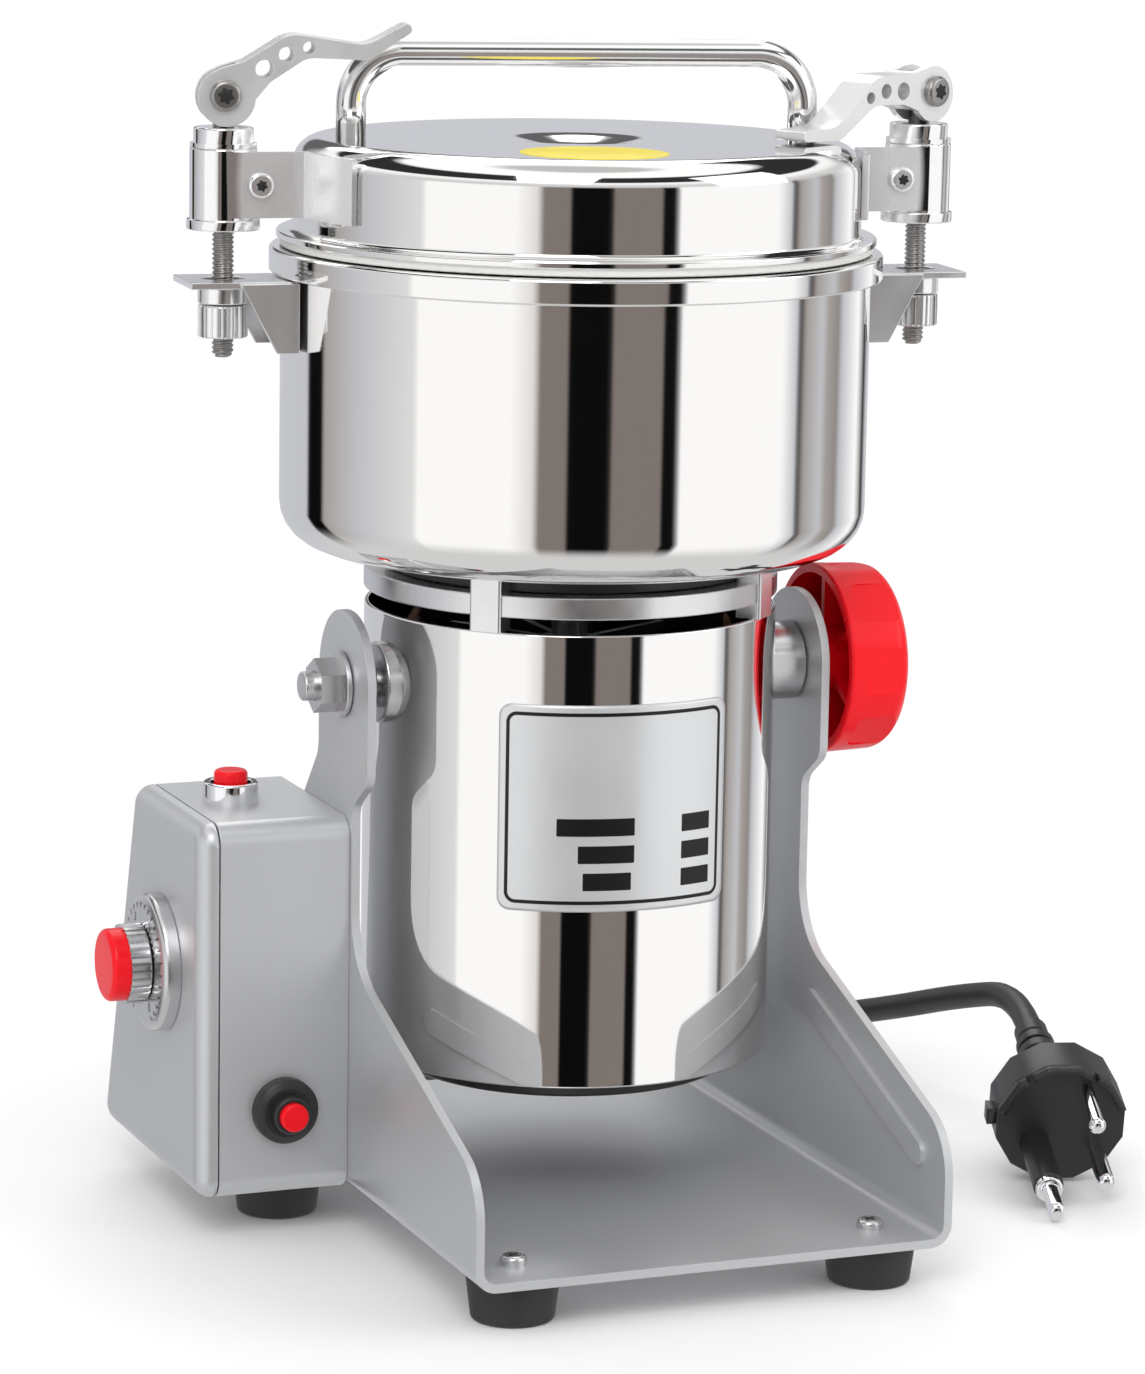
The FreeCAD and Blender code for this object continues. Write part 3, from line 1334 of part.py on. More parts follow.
def make_blades():
    lower = dim.lower_blade_z
    upper = lower + dim.blade_spacing
    group("grinding_blades", [
        make_blade("lower_blade", lower, dim.blade_length, 20.0),
        make_blade("upper_blade", upper, dim.blade_length - 14, 110.0),
    ])
    radius = dim.shaft_radius
    foot = dim.bowl_bottom + dim.bowl_floor + 1
    group("blade_spacers", [
        ring("foot_spacer", radius, radius + 6, foot, lower),
        ring("middle_spacer", radius, radius + 5, lower + dim.blade_sheet, upper),
    ])
    nut = new_body("blade_nut_body")
    hexagon = new_sketch(nut, "blade_hexagon", "XY", upper + dim.blade_sheet)
    across = (dim.shaft_radius * 2 + 7) / math.sqrt(3)
    add_loop(hexagon, [(across * math.cos(math.radians(60 * i)), across * math.sin(math.radians(60 * i)))
                       for i in range(6)])
    pad(nut, hexagon, dim.blade_nut_height)
    holes(nut, "blade_nut_bore", "XY", [(0, 0, radius)])
    place(nut)
    keep(nut, "blade_nut")


# Wound and routed pieces

def biarc(start, start_way, end, end_way):
    """Two arcs that leave one point and reach the next along the given directions."""
    chord = end - start
    both = start_way + end_way
    a = 2 * (1 - start_way.dot(end_way))
    b = chord.dot(both)
    c = chord.dot(chord)
    if abs(a) < 1e-9:
        reach = c / (2 * b)
    else:
        reach = (-b + math.sqrt(b * b + a * c)) / a
    joint = (start + start_way * reach + end - end_way * reach) * 0.5
    edges = []
    for first, way, last in ((start, start_way, joint), (joint, None, end)):
        if way is None:
            way = (end - end_way * reach - joint).normalize()
        across = last - first
        normal = across - way * across.dot(way)
        if normal.Length < 1e-7:
            edges.append(Part.LineSegment(first, last).toShape())
            continue
        normal.normalize()
        radius = across.dot(across) / (2 * across.dot(normal))
        centre = first + normal * radius
        swing = (first - centre) + (last - centre)
        out = swing.normalize() if across.dot(way) > 0 else -swing.normalize()
        middle = centre + out * abs(radius)
        edges.append(Part.Arc(first, middle, last).toShape())
    return edges


def tube_on(edges, diameter):
    """Sweeps a round section along a wire of lines and arcs, and checks its volume."""
    wire = Part.Wire(edges)
    start = wire.OrderedVertexes[0].Point
    way = wire.OrderedEdges[0].tangentAt(wire.OrderedEdges[0].FirstParameter)
    section = Part.Wire([Part.makeCircle(diameter / 2, start, way)])
    tube = wire.makePipeShell([section], True, False)
    expected = math.pi * diameter ** 2 / 4 * wire.Length
    print(f"tube of {wire.Length:.1f} mm: volume {tube.Volume:.0f}, expected {expected:.0f}")
    return tube


def rounded_route(points):
    """Straight runs joined by tangent arcs, each as large as its two runs allow."""
    edges = []
    here = points[0]
    for before, corner, after in zip(points, points[1:], points[2:]):
        way_in = (corner - before).normalize()
        way_out = (after - corner).normalize()
        half = way_in.getAngle(way_out) / 2
        trim = 0.45 * min((corner - before).Length, (after - corner).Length)
        radius = trim / math.tan(half)
        print(f"bend radius {radius:.1f} mm")
        start = corner - way_in * trim
        end = corner + way_out * trim
        inside = (way_out - way_in).normalize()
        middle = corner + inside * (radius / math.cos(half) - radius)
        edges.append(Part.LineSegment(here, start).toShape())
        edges.append(Part.Arc(start, middle, end).toShape())
        here = end
    edges.append(Part.LineSegment(here, points[-1]).toShape())
    return edges


def least_gap(points, diameter, apart):
    """Least gap between stretches of one tube that are not next to each other on it."""
    best = None
    for i, one in enumerate(points):
        for other in points[i + apart:]:
            space = one.distanceToPoint(other) - diameter
            best = space if best is None else min(best, space)
    return best


def make_spring():
    """Friction spring between the left boss and the cheek: a helix with its ends ground flat."""
    wire = float(dim.spring_wire)
    radius = float(dim.spring_radius)
    space = float(dim.spring_space) - 2 * float(dim.gap) - wire
    turns = 2.0
    start_x = -float(cheek_inner) + 2 * float(dim.gap) + wire / 2
    centre = Vector(0, float(pivot_y), float(dim.pivot_height))
    steps = int(turns * 4)
    spots = []
    for i in range(steps + 1):
        angle = math.pi / 2 * i
        spot = centre + Vector(start_x + space * i / steps, radius * math.cos(angle), radius * math.sin(angle))
        way = Vector(space / turns / (2 * math.pi), -radius * math.sin(angle), radius * math.cos(angle))
        spots.append((spot, way.normalize()))
    edges = []
    for (one, one_way), (two, two_way) in zip(spots, spots[1:]):
        edges += biarc(one, one_way, two, two_way)
    spring = doc.addObject("Part::Feature", "pivot_spring_coil")
    spring.Shape = tube_on(edges, wire)
    print(f"pivot spring: gap between curls {space / turns - wire:.2f} mm")
    spring.Placement = FreeCAD.Placement(Vector(float(dim.axis_x), float(dim.axis_y), 0), Rotation())
    keep(spring, "pivot_spring")


coil_centre = Vector(48.0, 146.0, 0.0)
coil_radius = 48.0
coil_step = 8.3
coil_lift = 1.1
quarters_in = 8
quarters_up = 2
quarters_out = 6


def coil_spot(quarter):
    """A point of the coil: in over two turns, up a layer in half a turn, and out again."""
    height = float(dim.cord_diameter) / 2 + coil_lift
    climbed = (quarter - quarters_in) / quarters_up
    if climbed <= 0:
        depth = quarter
        level = 0.0
    elif climbed <= 1:
        depth = quarters_in + 0.7 * math.sin(math.pi * climbed)
        level = (1 - math.cos(math.pi * climbed)) / 2
    else:
        depth = 2 * quarters_in + quarters_up - quarter
        level = 1.0
    radius = coil_radius - coil_step * depth / 4
    angle = math.pi / 2 - math.pi / 2 * quarter
    flat = Vector(math.cos(angle), math.sin(angle), 0)
    return coil_centre + flat * radius + Vector(0, 0, height + level * coil_step)


def make_cord():
    """Mains cord: down from the gland, through the put-away coil, and round to the plug."""
    diameter = float(dim.cord_diameter)
    shift = Vector(float(dim.axis_x), float(dim.axis_y), 0)
    quarters = quarters_in + quarters_up + quarters_out
    spots = []
    for number in range(round(3 * quarters) + 1):
        quarter = number / 3
        spots.append((coil_spot(quarter), (coil_spot(quarter + 0.1) - coil_spot(quarter - 0.1)).normalize()))
    spots[0] = (spots[0][0], Vector(1, 0, 0))
    spots[-1] = (spots[-1][0], Vector(1, 0, 0))
    edges = []
    for (one, one_way), (two, two_way) in zip(spots, spots[1:]):
        edges += biarc(one, one_way, two, two_way)
    coil = doc.addObject("Part::Feature", "cord_coil_tube")
    coil.Shape = tube_on(edges, diameter)
    coil.Placement = FreeCAD.Placement(shift, Rotation())
    keep(coil, "power_cord_coil")
    trail = []
    for edge in edges:
        trail += edge.discretize(8)[:-1]
    print(f"coil: least gap to itself {least_gap(trail, diameter, 24):.2f} mm")

    first, last = spots[0][0], spots[-1][0]
    gland_end = Vector(float(gland_x), gland_back + float(dim.gland_length), float(dim.gland_z))
    to_coil = [
        gland_end,
        Vector(-78, 131, 33),
        Vector(-66, 156, 22),
        Vector(-44, 180, 10),
        Vector(-16, 193, 4.6),
        Vector(20, first.y, first.z),
        first,
    ]
    to_plug = [
        last,
        Vector(92, last.y, last.z),
        Vector(123, 170, 8),
        Vector(139, 134, 9),
        Vector(149, 98, 20),
        Vector(157, 66, 31),
        plug_tail + plug_way * 24,
        plug_tail,
    ]
    for label, points in (("power_cord_to_coil", to_coil), ("power_cord_to_plug", to_plug)):
        tube = doc.addObject("Part::Feature", label + "_tube")
        tube.Shape = tube_on(rounded_route(points), diameter)
        tube.Placement = FreeCAD.Placement(shift, Rotation())
        keep(tube, label)

    tie = doc.addObject("Part::Feature", "cord_tie_band")
    corner = coil_centre + Vector(-46.9, -3, 0.1)
    outer = Part.makeBox(18.8, 6.0, 18.0, corner)
    inner = Part.makeBox(17.0, 6.0, 16.3, corner + Vector(0.9, 0, 0.85))
    tie.Shape = outer.cut(inner)
    tie.Placement = FreeCAD.Placement(shift, Rotation())
    keep(tie, "cord_tie")


gland_lean = (float(dim.box_rear_low) - float(dim.box_rear_top)) / (float(dim.box_top) - float(box_low))
gland_back = float(dim.box_rear_low) - gland_lean * (float(dim.gland_z) - float(box_low)) + 3.2


def make_gland():
    """Moulded bush with a flange on each side of the box's back, and a tapered strain relief."""
    back = gland_back
    keep(turned("gland_body", [
        (0, -16), (dim.gland_flange_radius, -16, 0.8), (dim.gland_flange_radius, -11.5, 0.8),
        (dim.gland_neck_radius, -11.5), (dim.gland_neck_radius, 0), (dim.gland_flange_radius, 0, 0.8),
        (dim.gland_flange_radius, 3.5, 0.8), (dim.gland_neck_radius + 0.4, 3.5),
        (dim.cord_diameter / 2 + 0.9, dim.gland_length), (0, dim.gland_length),
    ], x=gland_x, y=back, z=dim.gland_z, **BACKWARDS), "cord_gland")


# The plug lies on the floor to the right, its tail raised by the stiff cord
plug_pitch = 14.0
plug_heading = 17.0
plug_way = Vector(
    math.sin(math.radians(plug_heading)) * math.cos(math.radians(plug_pitch)),
    math.cos(math.radians(plug_heading)) * math.cos(math.radians(plug_pitch)),
    math.sin(math.radians(plug_pitch)),
)
plug_face = Vector(139.9, -32.9, float(dim.plug_radius) * math.cos(math.radians(plug_pitch)) + 0.5)
plug_tail = plug_face + plug_way * float(dim.plug_length)


def lay_like_plug(item):
    """Turns an item's Z axis to the plug's axis and puts its origin on the plug's face."""
    turn = Rotation(Vector(0, 0, 1), -plug_heading).multiply(Rotation(Vector(1, 0, 0), plug_pitch - 90))
    item.Placement = FreeCAD.Placement(Vector(), turn)
    bind(item, "Placement.Base.x", dim.axis_x + plug_face.x)
    bind(item, "Placement.Base.y", dim.axis_y + plug_face.y)
    bind(item, "Placement.Base.z", plug_face.z)


def make_plug():
    body = new_body("plug_body_solid")
    face = new_sketch(body, "plug_outline", "XY")
    turn = [math.radians(30 * i + 15) for i in range(12)]
    add_loop(face, [(dim.plug_radius * math.cos(angle), dim.plug_radius * math.sin(angle)) for angle in turn])
    pad(body, face, dim.plug_head_depth)
    section = new_sketch(body, "plug_section", "XZ")
    depth = dim.plug_head_depth
    rib_start = depth + dim.plug_neck_length
    rib_pitch = (dim.plug_length - rib_start) / 5
    corners = [(0, 1), (dim.plug_radius - 4, 1), (dim.plug_radius - 4, depth + 1, 1.5), (9, rib_start - 1, 2.0)]
    for number in range(4):
        ring = dim.cord_diameter / 2 + 3.4 - 0.5 * number
        corners += [
            (ring, rib_start + rib_pitch * number), (ring, rib_start + rib_pitch * (number + 0.62)),
            (ring - 1.5, rib_start + rib_pitch * (number + 0.62)), (ring - 1.5, rib_start + rib_pitch * (number + 1)),
        ]
    tail = dim.cord_diameter / 2 + 1.1
    corners += [(tail, rib_start + rib_pitch * 4), (tail, dim.plug_length), (0, dim.plug_length)]
    add_loop(section, corners)
    revolve(body, section)
    lay_like_plug(body)
    keep(body, "plug_body")
    pins = []
    earth_tip = -dim.earth_pin_length
    sleeve_end = -dim.earth_sleeve_length
    straight = [(0, -dim.pin_length), (dim.pin_radius, -dim.pin_length, dim.pin_radius * 0.8),
                (dim.pin_radius, 0), (0, 0)]
    stepped = [
        (0, earth_tip), (dim.earth_pin_radius, earth_tip, 2.0), (dim.earth_pin_radius, sleeve_end - 2),
        (dim.earth_sleeve_radius - 0.4, sleeve_end - 2, 0.8), (dim.earth_sleeve_radius - 0.4, sleeve_end),
        (dim.earth_pin_radius, sleeve_end), (dim.earth_pin_radius, 0), (0, 0),
    ]
    sleeve = [
        (dim.earth_pin_radius, sleeve_end), (dim.earth_sleeve_radius, sleeve_end, 0.6),
        (dim.earth_sleeve_radius, 0), (dim.earth_pin_radius, 0),
    ]
    for name, x, y, corners in (
        ("live", 9.9, 7.0, straight), ("neutral", 6.0, -11.0, straight),
        ("earth", -7.0, 6.5, stepped), ("sleeve", -7.0, 6.5, sleeve),
    ):
        pin = new_body(f"pin_{name}")
        section = new_sketch(pin, f"pin_section_{name}", "XZ")
        add_loop(section, corners)
        revolve(pin, section)
        if name == "earth":
            flat = new_sketch(pin, "earth_pin_flats", "XZ")
            edge = dim.earth_pin_radius + 1
            for side in (-1, 1):
                add_loop(flat, [(side * 1.5, earth_tip - 1), (side * edge, earth_tip - 1),
                                (side * edge, sleeve_end - 4), (side * 1.5, sleeve_end - 4)][::side])
            pocket(pin, flat)
        lay_like_plug(pin)
        shift = pin.Placement.Rotation.multVec(Vector(x, y, 0))
        bind(pin, "Placement.Base.x", dim.axis_x + plug_face.x + shift.x)
        bind(pin, "Placement.Base.y", dim.axis_y + plug_face.y + shift.y)
        bind(pin, "Placement.Base.z", Length(plug_face.z + shift.z))
        pins.append(pin)
    group("plug_pins", pins[:3])
    keep(pins[3], "earth_pin_sleeve")


def check_and_export():
    """Stops on any failed object or invalid shape, then writes one file for each sub-part."""
    doc.recompute()
    for item in doc.Objects:
        if "Invalid" in item.State or "Error" in item.State:
            raise RuntimeError(f"{item.Name} failed")
    broken = [item.Label for item in nodes if item.Shape.isNull() or not item.Shape.isValid()]
    if broken:
        raise RuntimeError(f"no valid shape: {broken}")
    os.makedirs("parts", exist_ok=True)
    for item in nodes:
        item.Shape.exportStep(f"parts/{item.Label}.step")
    print(f"{len(nodes)} sub-parts written")


make_base_frame()
make_feet()
make_box()
make_timer()
make_switches()
make_pivot()
make_housing()
make_end_bracket()
make_bowl()
make_bowl_brackets()
make_lid()
make_handle()
make_clamps()
make_motor()
make_rotor()
make_blades()
make_spring()
make_gland()
make_plug()
make_cord()
check_and_export()
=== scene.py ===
import json
import math
import bmesh
import bpy
import numpy as np
from mathutils import Matrix, Vector


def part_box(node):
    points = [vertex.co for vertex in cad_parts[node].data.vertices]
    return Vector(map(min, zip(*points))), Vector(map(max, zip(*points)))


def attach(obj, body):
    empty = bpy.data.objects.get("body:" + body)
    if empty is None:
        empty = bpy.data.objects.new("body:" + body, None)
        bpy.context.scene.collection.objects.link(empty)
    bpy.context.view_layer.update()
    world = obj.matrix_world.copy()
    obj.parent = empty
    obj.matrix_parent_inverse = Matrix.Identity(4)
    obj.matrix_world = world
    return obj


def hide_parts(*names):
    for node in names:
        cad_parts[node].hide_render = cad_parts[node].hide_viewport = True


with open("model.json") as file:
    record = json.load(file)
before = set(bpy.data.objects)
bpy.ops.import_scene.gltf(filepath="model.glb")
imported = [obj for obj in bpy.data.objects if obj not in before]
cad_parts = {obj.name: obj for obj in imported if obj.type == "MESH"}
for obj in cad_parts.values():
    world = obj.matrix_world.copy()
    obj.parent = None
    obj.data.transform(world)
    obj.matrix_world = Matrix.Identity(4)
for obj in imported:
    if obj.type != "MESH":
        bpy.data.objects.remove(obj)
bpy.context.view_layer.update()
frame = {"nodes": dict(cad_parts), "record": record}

# Camera. It stands in front and a little to the left of the machine, above the lid's
# height, and leans a touch so that the machine's right side sits lower in the picture.
housing_low, housing_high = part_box("motor_housing")
axis = Vector(((housing_low[0] + housing_high[0]) / 2, (housing_low[1] + housing_high[1]) / 2, 0))
camera_turn = math.radians(22)
camera_dip = math.radians(10.7)
camera_lean = math.radians(1.0)
camera_distance = 1.4
aim_side = 0.00109
aim_height = 0.1466
picture_height = 1374
pixels_per_mm = 3.63
sensor_size = 36
sight = Vector((
    math.sin(camera_turn) * math.cos(camera_dip),
    math.cos(camera_turn) * math.cos(camera_dip),
    -math.sin(camera_dip),
))
across = Vector((math.cos(camera_turn), -math.sin(camera_turn), 0))
upright = across.cross(sight)
camera_right = across * math.cos(camera_lean) + upright * math.sin(camera_lean)
camera_up = upright * math.cos(camera_lean) - across * math.sin(camera_lean)
aim = axis + across * aim_side + Vector((0, 0, aim_height))
camera_frame = Matrix((camera_right, camera_up, -sight)).transposed().to_4x4()
camera_frame.translation = aim - sight * camera_distance
camera_data = bpy.data.cameras.new("camera")
camera_data.sensor_fit = "AUTO"
camera_data.sensor_width = sensor_size
camera_data.lens = pixels_per_mm * camera_distance * 1000 * sensor_size / picture_height
camera = bpy.data.objects.new("camera", camera_data)
camera.matrix_world = camera_frame
bpy.context.collection.objects.link(camera)
bpy.context.scene.camera = camera


# Mains cord. Black rubber sheathed lead, 7.5 mm thick and 1.4 m long: it drops from the
# bush in the box's back, lies in a tied coil behind the machine and runs out to the plug.
def fed(tree, node, inputs):
    """The node itself, with each named input linked to a socket or set to a value."""
    for name, value in inputs.items():
        if isinstance(value, bpy.types.NodeSocket):
            tree.links.new(value, node.inputs[name])
        else:
            node.inputs[name].default_value = value
    return node


def maths(tree, operation, *values):
    """Output of a Math node over sockets and numbers."""
    node = tree.nodes.new("ShaderNodeMath")
    node.operation = operation
    return fed(tree, node, dict(enumerate(values))).outputs["Value"]


def ranged(tree, value, start, end, low=0.0, high=1.0, kind="LINEAR"):
    """Output of a Map Range node, which runs from low to high as value runs from start to end."""
    node = tree.nodes.new("ShaderNodeMapRange")
    node.interpolation_type = kind
    ends = {"From Min": start, "From Max": end, "To Min": low, "To Max": high}
    return fed(tree, node, {"Value": value, **ends}).outputs["Result"]


def mixed(tree, share, first, second):
    """Output of a colour Mix node: first where share is 0 and second where it is 1."""
    node = tree.nodes.new("ShaderNodeMix")
    node.data_type = "RGBA"
    return fed(tree, node, {"Factor": share, "A": first, "B": second}).outputs["Result"]


def surface_grain():
    """Node group: fine grain and broad clouding, both read from object coordinates in metres."""
    group = bpy.data.node_groups.new("surface_grain", "ShaderNodeTree")
    for label, value in (("Grain Scale", 900.0), ("Cloud Scale", 30.0), ("Stretch", 1.0)):
        socket = group.interface.new_socket(label, in_out="INPUT", socket_type="NodeSocketFloat")
        socket.default_value = value
    for label in ("Grain", "Cloud"):
        group.interface.new_socket(label, in_out="OUTPUT", socket_type="NodeSocketFloat")
    given = group.nodes.new("NodeGroupInput")
    result = group.nodes.new("NodeGroupOutput")
    where = group.nodes.new("ShaderNodeTexCoord")
    squeeze = group.nodes.new("ShaderNodeCombineXYZ")
    fed(group, squeeze, {"X": 1.0, "Y": 1.0, "Z": given.outputs["Stretch"]})
    scaled = group.nodes.new("ShaderNodeVectorMath")
    scaled.operation = "MULTIPLY"
    fed(group, scaled, {0: where.outputs["Object"], 1: squeeze.outputs["Vector"]})
    for label, detail in (("Grain", 3.0), ("Cloud", 2.0)):
        noise = group.nodes.new("ShaderNodeTexNoise")
        scale = given.outputs[label + " Scale"]
        fed(group, noise, {"Vector": scaled.outputs["Vector"], "Scale": scale, "Detail": detail})
        fed(group, result, {label: noise.outputs["Fac"]})
    return group


grain_group = surface_grain()
bump_depth = 0.00002
cloud_low = 0.3
cloud_high = 0.7


def finish(name, colour, second, roughness, spread, metallic=0.0, grain=900.0, cloud=30.0,
           stretch=1.0, bump=0.0, coat=0.0, coat_roughness=0.1, specular=0.5):
    """Material whose colour drifts from colour to second and whose roughness spreads with the clouding."""
    material = bpy.data.materials.new(name)
    material.use_nodes = True
    tree = material.node_tree
    pattern = tree.nodes.new("ShaderNodeGroup")
    pattern.node_tree = grain_group
    fed(tree, pattern, {"Grain Scale": grain, "Cloud Scale": cloud, "Stretch": stretch})
    clouds = pattern.outputs["Cloud"]
    halved = maths(tree, "MULTIPLY", clouds, 0.5)
    both = maths(tree, "MULTIPLY_ADD", pattern.outputs["Grain"], 0.5, halved)
    shader = fed(tree, tree.nodes["Principled BSDF"], {
        "Base Color": mixed(tree, both, (*colour, 1), (*second, 1)),
        "Roughness": ranged(tree, clouds, cloud_low, cloud_high, roughness, roughness + spread),
        "Metallic": metallic,
        "Specular IOR Level": specular,
        "Coat Weight": coat,
        "Coat Roughness": coat_roughness,
    })
    if bump:
        relief = tree.nodes.new("ShaderNodeBump")
        fed(tree, relief, {"Strength": bump, "Distance": bump_depth, "Height": pattern.outputs["Grain"]})
        fed(tree, shader, {"Normal": relief.outputs["Normal"]})
    return material


cord_rubber = finish("cord_rubber", (0.012, 0.012, 0.013), (0.022, 0.022, 0.023), 0.36, 0.14,
                     grain=2600, cloud=60, bump=0.25)
cord_thickness = 0.0075
gland_low, gland_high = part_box("cord_gland")
gland_end = Vector(((gland_low[0] + gland_high[0]) / 2, gland_high[1], (gland_low[2] + gland_high[2]) / 2))
quarters_in = 8
quarters_up = 2
quarters_out = 6
coil_centre = (48, 146)
coil_radius = 48
coil_height = 4.85
turn_step = 8.3
climb_bulge = 0.7
spots_a_quarter = 3


def coil_spots():
    """Control points of the coil: in over two turns, half a turn that climbs a layer, and out again."""
    quarters = quarters_in + quarters_up + quarters_out
    quarter = np.arange(spots_a_quarter * quarters + 1) / spots_a_quarter
    climbed = np.clip((quarter - quarters_in) / quarters_up, 0, 1)
    level = (1 - np.cos(np.pi * climbed)) / 2
    bulge = climb_bulge * np.sin(np.pi * climbed)
    depth = np.where(quarter <= quarters_in, quarter, quarters_in + bulge)
    depth = np.where(climbed >= 1, 2 * quarters_in + quarters_up - quarter, depth)
    radius = coil_radius - turn_step * depth / 4
    angle = np.pi / 2 - np.pi / 2 * quarter
    return np.stack([
        coil_centre[0] + radius * np.cos(angle),
        coil_centre[1] + radius * np.sin(angle),
        coil_height + level * turn_step,
    ], axis=1)


coil = coil_spots()
plug_heading = math.radians(17)
plug_rise = math.radians(14)
plug_radius = 19
plug_length = 54
straight_run = 24
plug_way = Vector((
    math.sin(plug_heading) * math.cos(plug_rise),
    math.cos(plug_heading) * math.cos(plug_rise),
    math.sin(plug_rise),
))
plug_face = Vector((139.9, -32.9, plug_radius * math.cos(plug_rise) + 0.5))
plug_tail = plug_face + plug_way * plug_length
before_coil = [(-78, 131, 33), (-66, 156, 22), (-44, 180, 10), (-16, 193, 4.6), (20, 194, 4.85)]
after_coil = [(92, 194, 13.15), (123, 170, 8), (139, 134, 9), (149, 98, 20), (157, 66, 31),
              tuple(plug_tail + plug_way * straight_run), tuple(plug_tail)]
route = np.array([*before_coil, *coil, *after_coil]) / 1000 + np.array(axis)
route = np.vstack([[gland_end], route])
cord_curve = bpy.data.curves.new("mains_cord", "CURVE")
cord_curve.dimensions = "3D"
cord_line = cord_curve.splines.new("NURBS")
cord_line.points.add(len(route) - 1)
cord_line.points.foreach_set("co", np.hstack([route, np.ones((len(route), 1))]).ravel())
cord_line.order_u = 3
cord_line.use_endpoint_u = True
cord_curve.bevel_depth = cord_thickness / 2
cord_curve.bevel_resolution = 5
cord_curve.resolution_u = 8
cord_curve.use_fill_caps = True
mains_cord = bpy.data.objects.new("mains_cord", cord_curve)
bpy.context.collection.objects.link(mains_cord)
cord_curve.materials.append(cord_rubber)
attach(mains_cord, "stand")
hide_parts("power_cord_to_coil", "power_cord_coil", "power_cord_to_plug")


# Mains plug. Moulded black body with a raised rim on its face, two round pins and a long
# earth pin of bright metal in a black sleeve; the tie round the coil is black rubber.
def dress(node, material, split=32, edge=0.0):
    """Gives a made part its finish and smooth shading, and where edge is set edges rounded that many mm."""
    piece = frame["nodes"][node]
    for holder in piece.material_slots:
        holder.material = material
    if not piece.material_slots:
        piece.data.materials.append(material)
    piece.data.polygons.foreach_set("use_smooth", np.ones(len(piece.data.polygons), bool))
    weld = piece.modifiers.new("weld", "WELD")
    weld.merge_threshold = 0.000002
    if edge:
        flat = piece.modifiers.new("flat_faces", "DECIMATE")
        flat.decimate_type = "DISSOLVE"
        flat.angle_limit = math.radians(0.4)
        bevel = piece.modifiers.new("rounded_edges", "BEVEL")
        bevel.width = edge / 1000
        bevel.segments = 2
        bevel.limit_method = "ANGLE"
        bevel.angle_limit = math.radians(30)
        bevel.harden_normals = False
        normals = piece.modifiers.new("normals", "WEIGHTED_NORMAL")
        normals.keep_sharp = False
    else:
        edges = piece.modifiers.new("sharp_edges", "EDGE_SPLIT")
        edges.split_angle = math.radians(split)
        piece.modifiers.new("normals", "WEIGHTED_NORMAL")
    return piece


black_plastic = finish("black_plastic", (0.013, 0.013, 0.014), (0.02, 0.02, 0.021), 0.3, 0.15,
                       grain=2200, bump=0.3)
black_rubber = finish("black_rubber", (0.016, 0.016, 0.017), (0.028, 0.028, 0.029), 0.5, 0.2,
                      grain=1800, bump=0.5)
chrome = finish("chrome", (0.84, 0.84, 0.86), (0.9, 0.9, 0.91), 0.05, 0.05, metallic=1.0, grain=600)
dress("plug_body", black_plastic, edge=0.4)
dress("plug_pins", chrome)
dress("earth_pin_sleeve", black_plastic)
dress("cord_tie", black_rubber, edge=0.3)
dress("cord_gland", black_rubber)

plug_origin = axis + plug_face / 1000
plug_across = plug_way.cross(Vector((0, 0, 1))).normalized()
plug_upward = plug_across.cross(plug_way)


def plug_rim(first, last, inner=16.6, outer=19.0, front=-2.4, back=0.6, count=24):
    """Grid of a stretch of raised rim: a rectangle carried round the face, its outside on twelve flats."""
    angle = np.radians(np.linspace(first, last, count))[:, None]
    flat = outer * math.cos(math.radians(15)) / np.cos((angle + np.pi / 12) % (np.pi / 6) - np.pi / 12)
    radius = np.concatenate([0 * angle + inner, flat, flat, 0 * angle + inner], axis=1) / 1000
    depth = np.array([front, front, back, back])[None, :] / 1000 + 0 * radius
    grid = np.array(plug_origin) + depth[..., None] * np.array(plug_way)
    grid = grid + (radius * np.cos(angle))[..., None] * np.array(plug_across)
    return grid + (radius * np.sin(angle))[..., None] * np.array(plug_upward)


def skin(name, points, material, body, loop=(True, True), caps=False, closed=True):
    """Mesh over a grid of points in metres; loop says which ways the grid closes on itself."""
    rows, columns = points.shape[:2]
    row = np.arange(rows if loop[0] else rows - 1)
    column = np.arange(columns if loop[1] else columns - 1)
    row, column = np.meshgrid(row, column, indexing="ij")
    below = (row + 1) % rows
    beside = (column + 1) % columns
    faces = np.stack([
        row * columns + column, row * columns + beside, below * columns + beside, below * columns + column,
    ], axis=2).reshape(-1, 4)
    mesh = bpy.data.meshes.new(name)
    mesh.from_pydata(points.reshape(-1, 3).tolist(), [], faces.tolist())
    form = bmesh.new()
    form.from_mesh(mesh)
    bmesh.ops.remove_doubles(form, verts=form.verts, dist=0.0000004)
    if caps:
        bmesh.ops.holes_fill(form, edges=form.edges, sides=0)
    if closed:
        bmesh.ops.recalc_face_normals(form, faces=form.faces)
    form.to_mesh(mesh)
    form.free()
    mesh.polygons.foreach_set("use_smooth", np.ones(len(mesh.polygons), bool))
    piece = bpy.data.objects.new(name, mesh)
    bpy.context.collection.objects.link(piece)
    mesh.materials.append(material)
    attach(piece, body)
    return piece


def even_normals(piece):
    """Flat and evenly curved faces keep their own shading next to small rounded edges."""
    normals = piece.modifiers.new("normals", "WEIGHTED_NORMAL")
    normals.keep_sharp = False
    return piece


for name, grid in (
    ("plug_rim_0", plug_rim(16, 58)),
    ("plug_rim_1", plug_rim(64, 121)),
    ("plug_rim_2", plug_rim(127, 168)),
    ("plug_side_tab", plug_rim(172, 186, inner=17, outer=21.4, front=3, back=8, count=6)),
):
    trim = skin(name, grid, black_plastic, "stand", loop=(False, True), caps=True)
    even_normals(trim)

